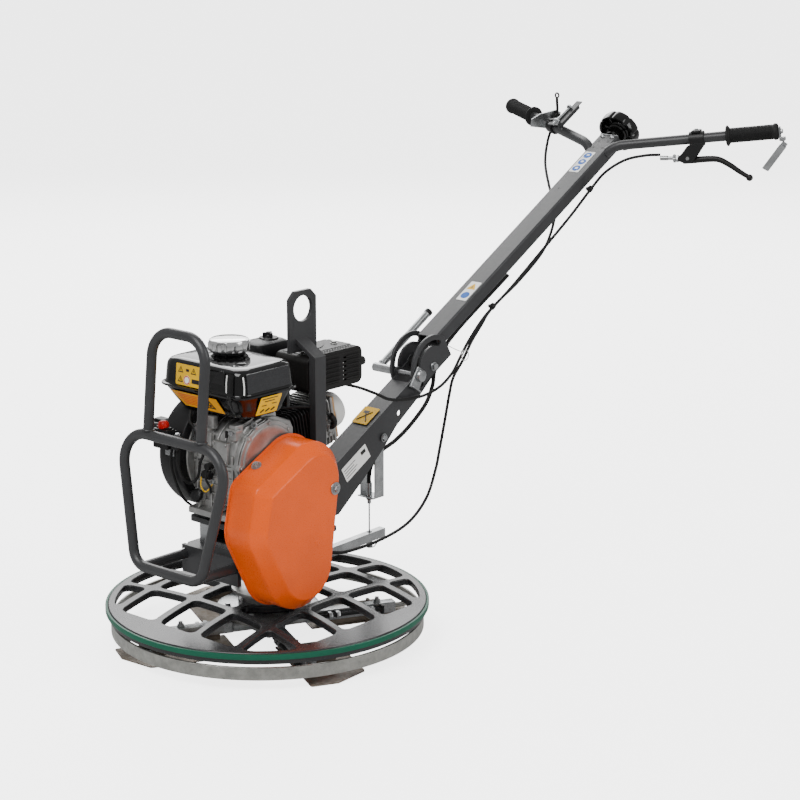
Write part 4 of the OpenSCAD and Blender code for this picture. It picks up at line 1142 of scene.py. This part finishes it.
def make_bar_controls():
    # belt side: black clamp ring with a three-cornered perch and the cable adjuster
    p = Piece(BLACK)
    p.at(bar_frame(-1))
    p.pipe((176, 0, 0), (208, 0, 0), 16, 11.1)
    perch = [(180, -9), (206, -9), (204, -18), (184, -44), (174, -50), (160, -50), (148, -44), (148, -36),
        (158, -28), (170, -14)]
    for y in (-14, 9):
        p.plate(perch, [], -y - 5, -y, XZ, 0.9)
    p.box((148, -9.5, -46), (158, 9.5, -35), 2)
    p.box((182, -14, 13), (202, 14, 19), 2)
    p.use(ZINC)
    p.rod((170, -17, -40), (170, 17, -40), 3.9)
    p.bolt((170, -14.2, -40), (0, -1, 0), 5, washer=False)
    p.bolt((192, 0, 19), (0, 0, 1), 4.5, washer=False)
    p.lathe([(3, 0), (8.4, 0), (8.4, 5), (3, 5)], (148, 0, -40), (-1, 0, 0), 6)
    p.lathe([(3, 0), (8.6, 0), (9, 2), (8.6, 5), (3, 5)], (141, 0, -39),
        (-1, 0, 0), 32, lambda a: 1 + 0.04 * cos(14 * a))
    p.rod((142, 0, -39), (112, 0, -36), 4)
    p.rod((124, 0, -37), (107, 0, -35.4), 5.2)
    # catch bracket on the end of the bar
    p.box((370, -9, -20), (373, 9, 10), 0.8)
    p.bolt((373, 0, 0), (1, 0, 0), 6)
    for y in (-9, 6.5):
        p.box((372, y, -21), (382, y + 2.5, -13), 0.6)
    p.rod((378, -8, -17), (378, 8, -17), 3)
    # far side: clamp ring, stay plate and the angle box that guards the cable
    p.at(bar_frame(1))
    p.use(BLACK).pipe((150, 0, 0), (174, 0, 0), 16, 11.1)
    p.box((154, -14, 13), (170, 14, 18), 2)
    p.use(ZINC)
    stay = [(-33, 2), (-2, -13), (43, -6), (42, 11), (20, 23), (-20, 30), (-33, 24)]
    ring = arc(0, 0, 11.1, 0, 350, 35)
    p.plate(stay, [ring], 192, 195, YZ, 0.7)
    p.box((173, 11.5, -8), (193, 14, 8), 0.8)
    p.rod((180, -20, 14), (193, -20, 14), 4)
    p.bolt((195, 28, 10), (1, 0, 0), 5, washer=False)
    p.at(HANDLE).tube([(740, 135, 70.5), (813, 135, 69)], 3, 16)
    for x in (752, 806):
        p.lathe([(2.6, 0), (7, 0), (7, 4), (2.6, 4)], (x, 135, 70.2), (1, 0, 0), 6)
    p.use(PAINT)
    p.box((753, 133, 47), (838, 136, 67), 0.8)
    p.box((765, 134, 47), (790, 176, 49.5), 0.8)
    p.box((753, 120, 64.6), (838, 136, 67), 0.8)
    p.at().done("lever_perches", "handle", ["lever_clamps"], "zinc")

    c = Piece(HOT)
    c.at(bar_frame(-1))
    path = smooth_path([(158, 0, -45), (179, 0, -46), (213, 0, -46.5), (236, 0, -50), (259, -1.5, -64),
        (278, -3, -79), (296, -4.6, -92)], 8)
    c.tube(path, 6, 20, [8 - 3 * i / (len(path) - 1) for i in range(len(path))])
    c.ball((299, -5, -94), 7.6)
    c.pipe((170, -8.5, -40), (170, 8.5, -40), 11, 4.1)
    c.at().done("clutch_hand_lever", "clutch_lever", ["clutch_lever"], "black_metal", crease=60)

    t = Piece(HOT)
    t.at(bar_frame(1))
    t.lathe([(4.1, -4), (9.4, -4), (10, -3), (10, 1), (9, 3), (6, 4), (4.1, 4.2)], (186, -20, 14), (1, 0, 0), 40)
    t.tube(smooth_path([(187, -20, 20), (187, -20, 34), (189, -19, 48), (190, -18, 60)], 5), 3.2, 14)
    t.loop_tube([(190 + 1.5 * sin(a / 4), -18 + 4.4 * cos(a / 4), 64.6 + 5 * sin(a / 4)) for a in range(25)], 2, 10)
    t.at().done("throttle_hand_lever", "throttle_lever", ["throttle_lever"], "black_metal", crease=60)

    k = Piece(ZINC)
    swing = bar_frame(-1) @ shift_by((378, 0, -17)) @ turn_by(-138.4, "Y")
    half = arc(0, 0, 16, 95, 265, 24) + arc(0, 0, 14, 265, 95, 24)
    k.at(swing).grid([[Vector((a, b, z)) for a, b in half] for z in (11, 75)])
    k.box((-14.4, -5, 4), (-2, 5, 12), 1)
    k.pipe((0, -6, 0), (0, 6, 0), 4.9, 3.1)
    k.at().done("grip_catch", "lever_catch", ["lever_catch"], "zinc")


RING = Vector((543, -46, 468))


def make_cables():
    # cables that cross the fold bend between the chassis and the handle
    clutch = [(1078, -150, 838), (1045, -133, 838), (1019, -100, 828), (1000, -62, 800), (985, -35, 762),
        (917, -31, 710)]
    clutch += [(813, -31, 645), (711, -31, 582), (643, -31, 545), (612, -33, 520), (577, -35, 490), (546, -37, 455),
        (515, -38, 425)]
    clutch += [(502, -38, 390), (489, -38, 341), (469, -40, 279), (450, -45, 240), (413, -52, 190), (345, -62, 156),
        (251, -72, 145), (140, -84, 150), (90, -84, 160)]
    throttle = [(1150, 196, 866), (1121, 188, 838), (1062, 150, 795), (1000, 90, 752), (950, 34, 712),
        (860, -8, 648), (760, -22, 596)]
    throttle += [(680, -28, 562), (622, -31, 533), (570, -33, 492), (540, -35, 462), (513, -36, 434),
        (470, -37, 412), (409, -36, 403)]
    throttle += [(329, -34, 412), (280, -32, 434), (230, -26, 456), (190, 8, 468), (160, 40, 470), (120, 56, 462)]
    pitch = [(740, 0, 602), (560, 0, 502), (505, 0, 446), (493, 0, 405), (471, 0, 370), (423, 0, 335), (377, 0, 312),
        (332, 0, 298), (304, 0, 276), (296, 0, 254), (296, 0, 232)]
    for name, points, r in (("clutch_cable", clutch, 3.2), ("throttle_cable", throttle, 3.1),
        ("pitch_cable", pitch, 4.3)):
        p = Piece(RUBBER)
        p.tube(smooth_path(points, 10), r, 14)
        obj = p.done(name, None, slot="black_rubber")
        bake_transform(obj)
        if name == "clutch_cable":
            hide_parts("lower_cables", "upper_cables")
    c = Piece(BLACK)
    for spot in ((985, -33, 762), (652, -30, 552)):
        c.lathe([(3.2, -5), (6, -5), (6.4, -4), (6.4, 4), (6, 5), (3.2, 5), (3.2, -5)], spot, (0.85, 0.1, 0.5), 24)
        c.box((spot[0] - 5, spot[1], spot[2] - 3), (spot[0] + 5, spot[1] + 9, spot[2] + 4), 1.5)
    c.use(STEEL)
    c.loop_tube([(RING.x + 11 * cos(t / 8), RING.y, RING.z + 11 * sin(t / 8)) for t in range(50)], 1.0, 8)
    c.tube(smooth_path([HANDLE @ Vector((56, -32, 10)), RING + Vector((-16, 4, 12)), RING + Vector((-6, 2, 10))], 6),
        0.9, 8)
    c.done("cable_clips", "handle", slot="black_plastic")
    f = Piece(ZINC)
    f.rod((296, 0, 213), (296, 0, 240), 6)
    f.bolt((296, 0, 209.5), (0, 0, -1), 7)
    f.done("cable_ferrule", "frame", slot="zinc")


# ---------------------------------------------------------------- labels
def make_labels():
    p = Piece(YELLOW)
    along = (HANDLE.to_3x3() @ Vector((1, 0, 0))).normalized()

    def spot(s, z, y=0.0):
        return HANDLE @ Vector((s, y, z))

    m = label(p, spot(-184, 15.2, 5), (0, -1, 0), along, (40, 49), YELLOW, 0.3)
    p.use(PRINT_AND_SHADE).at(m)
    p.tube([(-13, -16, 0.3), (10, 12, 0.3)], 1.3, 6)
    p.tube([(12, -16, 0.3), (-4, 6, 0.3)], 1.3, 6)
    p.box((-12, 6, 0.2), (2, 13, 0.45), 0)
    p.at().done("arm_label", "frame", slot="frame_paint")
    q = Piece(WHITE)
    m = label(q, (229, -25.3, 300), along, (HANDLE.to_3x3() @ Vector((0, 0, 1))), (80, 34), WHITE, 0.2)
    q.use(PRINT_AND_SHADE).at(m)
    for k in range(4):
        q.box((-36, -11 + 6 * k, 0.2), (-6 + 7 * (k % 2), -9.6 + 6 * k, 0.35), 0)
    q.box((20, 2, 0.2), (34, 10, 0.35), 0)
    q.at().done("data_plate", "frame", slot="frame_paint")
    r = Piece(WHITE)
    m = label(r, spot(652, 44, 6), (0, -1, 0), along, (26, 75), WHITE, 0.3)
    for k in range(3):
        r.use(BLUE).at(m @ shift_by((0, -24 + 24 * k, 0.15))).lathe([(0.2, 0.3), (9.5, 0.3), (9.5, 0), (0.2, 0)], n=32)
        r.use(WHITE).at(m @ shift_by((0, -24 + 24 * k, 0.4))).box((-3, -3 + k, 0), (4, 4, 0.2), 0)
    m = label(r, spot(190, 44, -5), (0, -1, 0), along, (27, 61), WHITE, 0.3)
    r.use(BLUE).at(m @ shift_by((0, -14, 0.15))).lathe([(0.2, 0.3), (10, 0.3), (10, 0), (0.2, 0)], n=32)
    r.use(YELLOW).at(m @ shift_by((0, 14, 0.15)))
    r.grid([[Vector((0, 11, z)), Vector((-11, -8, z)), Vector((11, -8, z))] for z in (0, 0.3)])
    r.use(PRINT_AND_SHADE).grid([[Vector((0, 4, z)), Vector((-2, -4, z)), Vector((2, -4, z))] for z in (0.3, 0.4)])
    r.at().done("tube_labels", "handle", slot="frame_paint")


# ---------------------------------------------------------------- rotor
ARM_PHASE = -28  # degrees from +X to the first blade arm


def make_blades():
    for i, tag in enumerate("abcd"):
        turn = turn_by(ARM_PHASE + 90 * i, "Z")
        p = Piece(ZINC)
        p.at(turn)
        p.lathe([(9, 36), (9, 76)], axis=(1, 0, 0), origin=(0, 0, 24), n=32)
        p.box((75, -11, 13), (262, 11, 35), 1.6)
        for x in (176, 226):
            p.bolt((x, 0, 35), (0, 0, 1), 7.5)
            p.rod((x, 0, 40), (x, 0, 46), 4)
        p.box((77, -34, 27), (93, -10, 34), 1.2)
        p.bolt((85, -25, 27), (0, 0, -1), 6.5, washer=False)
        for x in (118, 134, 206):
            p.lathe([(3, 0), (7.6, 0), (8, 1), (8, 6), (7.6, 7), (3, 7)], (x, -19, 26), (1, 0, 0), 6)
        p.use(BLACK)
        p.rod((96, -19, 26), (232, -19, 26), 4.2, n=16)
        p.box((228, -24, 16), (233, -10, 34), 1)
        p.lathe([(3, 0), (6, 0), (6, 4), (0.5, 4)], (85, -25, 34), n=24)
        p.ball((85, -25, 38.2), 6)
        p.use(BLADE)
        blade = [(87, -14), (300, -14), (303, -11), (303, 40), (264, 104), (258, 106), (104, 106), (85, 88), (85, -12)]
        p.at().plate(blade, [], 0, 2.5, turn, 0.5)
        p.at(turn)
        p.box((100, -9, 2.6), (258, 9, 12.8), 0.8)
        p.box((150, 12, 2.6), (156, 60, 24), 0.8)
        p.box((224, 12, 2.6), (230, 60, 24), 0.8)
        for x in (125, 165, 215, 245):
            p.use(ZINC).lathe([(0.5, 4), (3, 3.6), (5, 2), (5.6, 0), (0.5, 0)], (x, 30, 2.5), n=20)
            p.use(BLADE)
        p.at().done(f"blade_and_arm_{tag}", f"blade_arm_{tag}", [f"blade_arm_{i + 1}"], "blade_steel")


def make_rotor_ring():
    p = Piece(GALV)
    lo, hi = box_mm("stabiliser_ring")
    p.lathe([(299, lo.z), (303.4, lo.z), (304, lo.z + 0.6), (304, hi.z - 0.6), (303.4, hi.z), (299, hi.z),
        (299, lo.z)], n=160)
    for i in range(4):
        p.at(turn_by(ARM_PHASE + 90 * i, "Z"))
        p.rod((246, 0, 24), (300, 0, 24), 4.95)
        p.lathe([(3, 0), (8, 0), (8, 5), (3, 5)], (290, 0, 24), (1, 0, 0), 6)
    p.at().done("stabiliser_ring_band", "rotor", ["stabiliser_ring"], "zinc")


def make_pitch_linkage():
    p = Piece(ZINC)
    p.rod((296, 0, 102), (296, 0, 226), 1.6, n=12)
    p.lathe([(2, 0), (7, 0), (7, 6), (2, 6)], (296, 0, 108.5), n=6)
    p.lathe([(2, 0), (7, 0), (7, 5), (2, 5)], (296, 0, 103), n=6)
    p.rod((296, 0, 196), (296, 0, 210), 4)
    p.tube(smooth_path([(286, -6, 105), (300, -8, 104), (314, -4, 108), (322, 4, 103), (312, 9, 104),
        (298, 7, 105)], 6), 1.1, 8)
    p.done("pitch_rod_end", "pitch_wire", ["pitch_wire"], "zinc")


for build in (
    make_guard_ring, make_belt_cover, make_front_hoop, make_fuel_tank, make_crankcase, make_cylinder, make_muffler,
    make_air_intake, make_shroud, make_wiring, make_upper_tube, make_hinge, make_handlebars, make_knob,
    make_bar_controls, make_cables, make_labels, make_blades, make_rotor_ring, make_pitch_linkage,
):
    build()


# ---------------------------------------------------------------- stage
LENS_MM = 99
CAMERA_AT = (-2.885, -2.861, 1.497)
CAMERA_AIM = (0.391, 0, 0.394)
LAMP_AIM = Vector((0.35, 0, 0.4))
FLOOR_DROP = -0.0006  # keeps the floor off the parts that rest on it


def make_stage():
    """Pale floor, soft studio light and the camera."""
    half_size = 60
    mesh = bpy.data.meshes.new("floor")
    mesh.from_pydata([(x * half_size, y * half_size, 0) for x, y in ((-1, -1), (1, -1), (1, 1),
        (-1, 1))], [], [(0, 1, 2, 3)])
    floor = bpy.data.objects.new("floor", mesh)
    bpy.context.scene.collection.objects.link(floor)
    floor.location.z = FLOOR_DROP
    mat, tree, bsdf = new_material("pale_floor")
    bsdf.inputs["Roughness"].default_value = 0.8
    bsdf.inputs["Specular IOR Level"].default_value = 0.1
    bsdf.inputs["Emission Color"].default_value = (1, 1, 1, 1)
    path = tree.nodes.new("ShaderNodeLightPath")
    tree.links.new(remap(tree, path.outputs["Is Camera Ray"], 0, 1, 0.1, 3.2), bsdf.inputs["Emission Strength"])
    tree.links.new(remap(tree, path.outputs["Is Glossy Ray"], 0, 1, 0.93, 0.3), bsdf.inputs["Base Color"])
    mesh.materials.append(mat)

    world = bpy.data.worlds.new("studio")
    bpy.context.scene.world = world
    world.use_nodes = True
    world.node_tree.nodes["Background"].inputs["Color"].default_value = (1, 1, 1, 1)
    # brighter where the camera sees it, dimmer in reflections
    tree = world.node_tree
    path = tree.nodes.new("ShaderNodeLightPath")
    glossy = remap(tree, path.outputs["Is Glossy Ray"], 0, 1, 0.7, 0.42)
    seen = tree.nodes.new("ShaderNodeMath")
    seen.operation = "MULTIPLY_ADD"
    tree.links.new(path.outputs["Is Camera Ray"], seen.inputs[0])
    seen.inputs[1].default_value = 5.0
    tree.links.new(glossy, seen.inputs[2])
    tree.links.new(seen.outputs[0], tree.nodes["Background"].inputs["Strength"])

    # overhead, right, back, and a wide card behind that mirrors in the level surfaces
    lights = (
        ((-2.6, -0.4, 4.0), 2.6, 2.6, 170), ((1.6, -3.8, 3.0), 2.2, 2.2, 60),
        ((2.2, 2.6, 3.4), 2.6, 2.6, 90), ((3.9, 3.3, 2.5), 5.0, 2.2, 110),
    )
    for i, (spot, width, height, power) in enumerate(lights):
        data = bpy.data.lights.new(f"softbox_{i}", "AREA")
        data.shape = "RECTANGLE"
        data.size, data.size_y = width, height
        data.energy = power
        lamp = bpy.data.objects.new(f"softbox_{i}", data)
        lamp.location = spot
        lamp.rotation_euler = (LAMP_AIM - Vector(spot)).to_track_quat("-Z", "Y").to_euler()
        bpy.context.scene.collection.objects.link(lamp)

    data = bpy.data.cameras.new("camera")
    data.lens = LENS_MM
    data.sensor_width = 36
    camera = bpy.data.objects.new("camera", data)
    camera.location = CAMERA_AT
    aim = Vector(CAMERA_AIM) - camera.location
    camera.rotation_euler = aim.to_track_quat("-Z", "Y").to_euler()
    bpy.context.scene.collection.objects.link(camera)
    bpy.context.scene.camera = camera


make_stage()
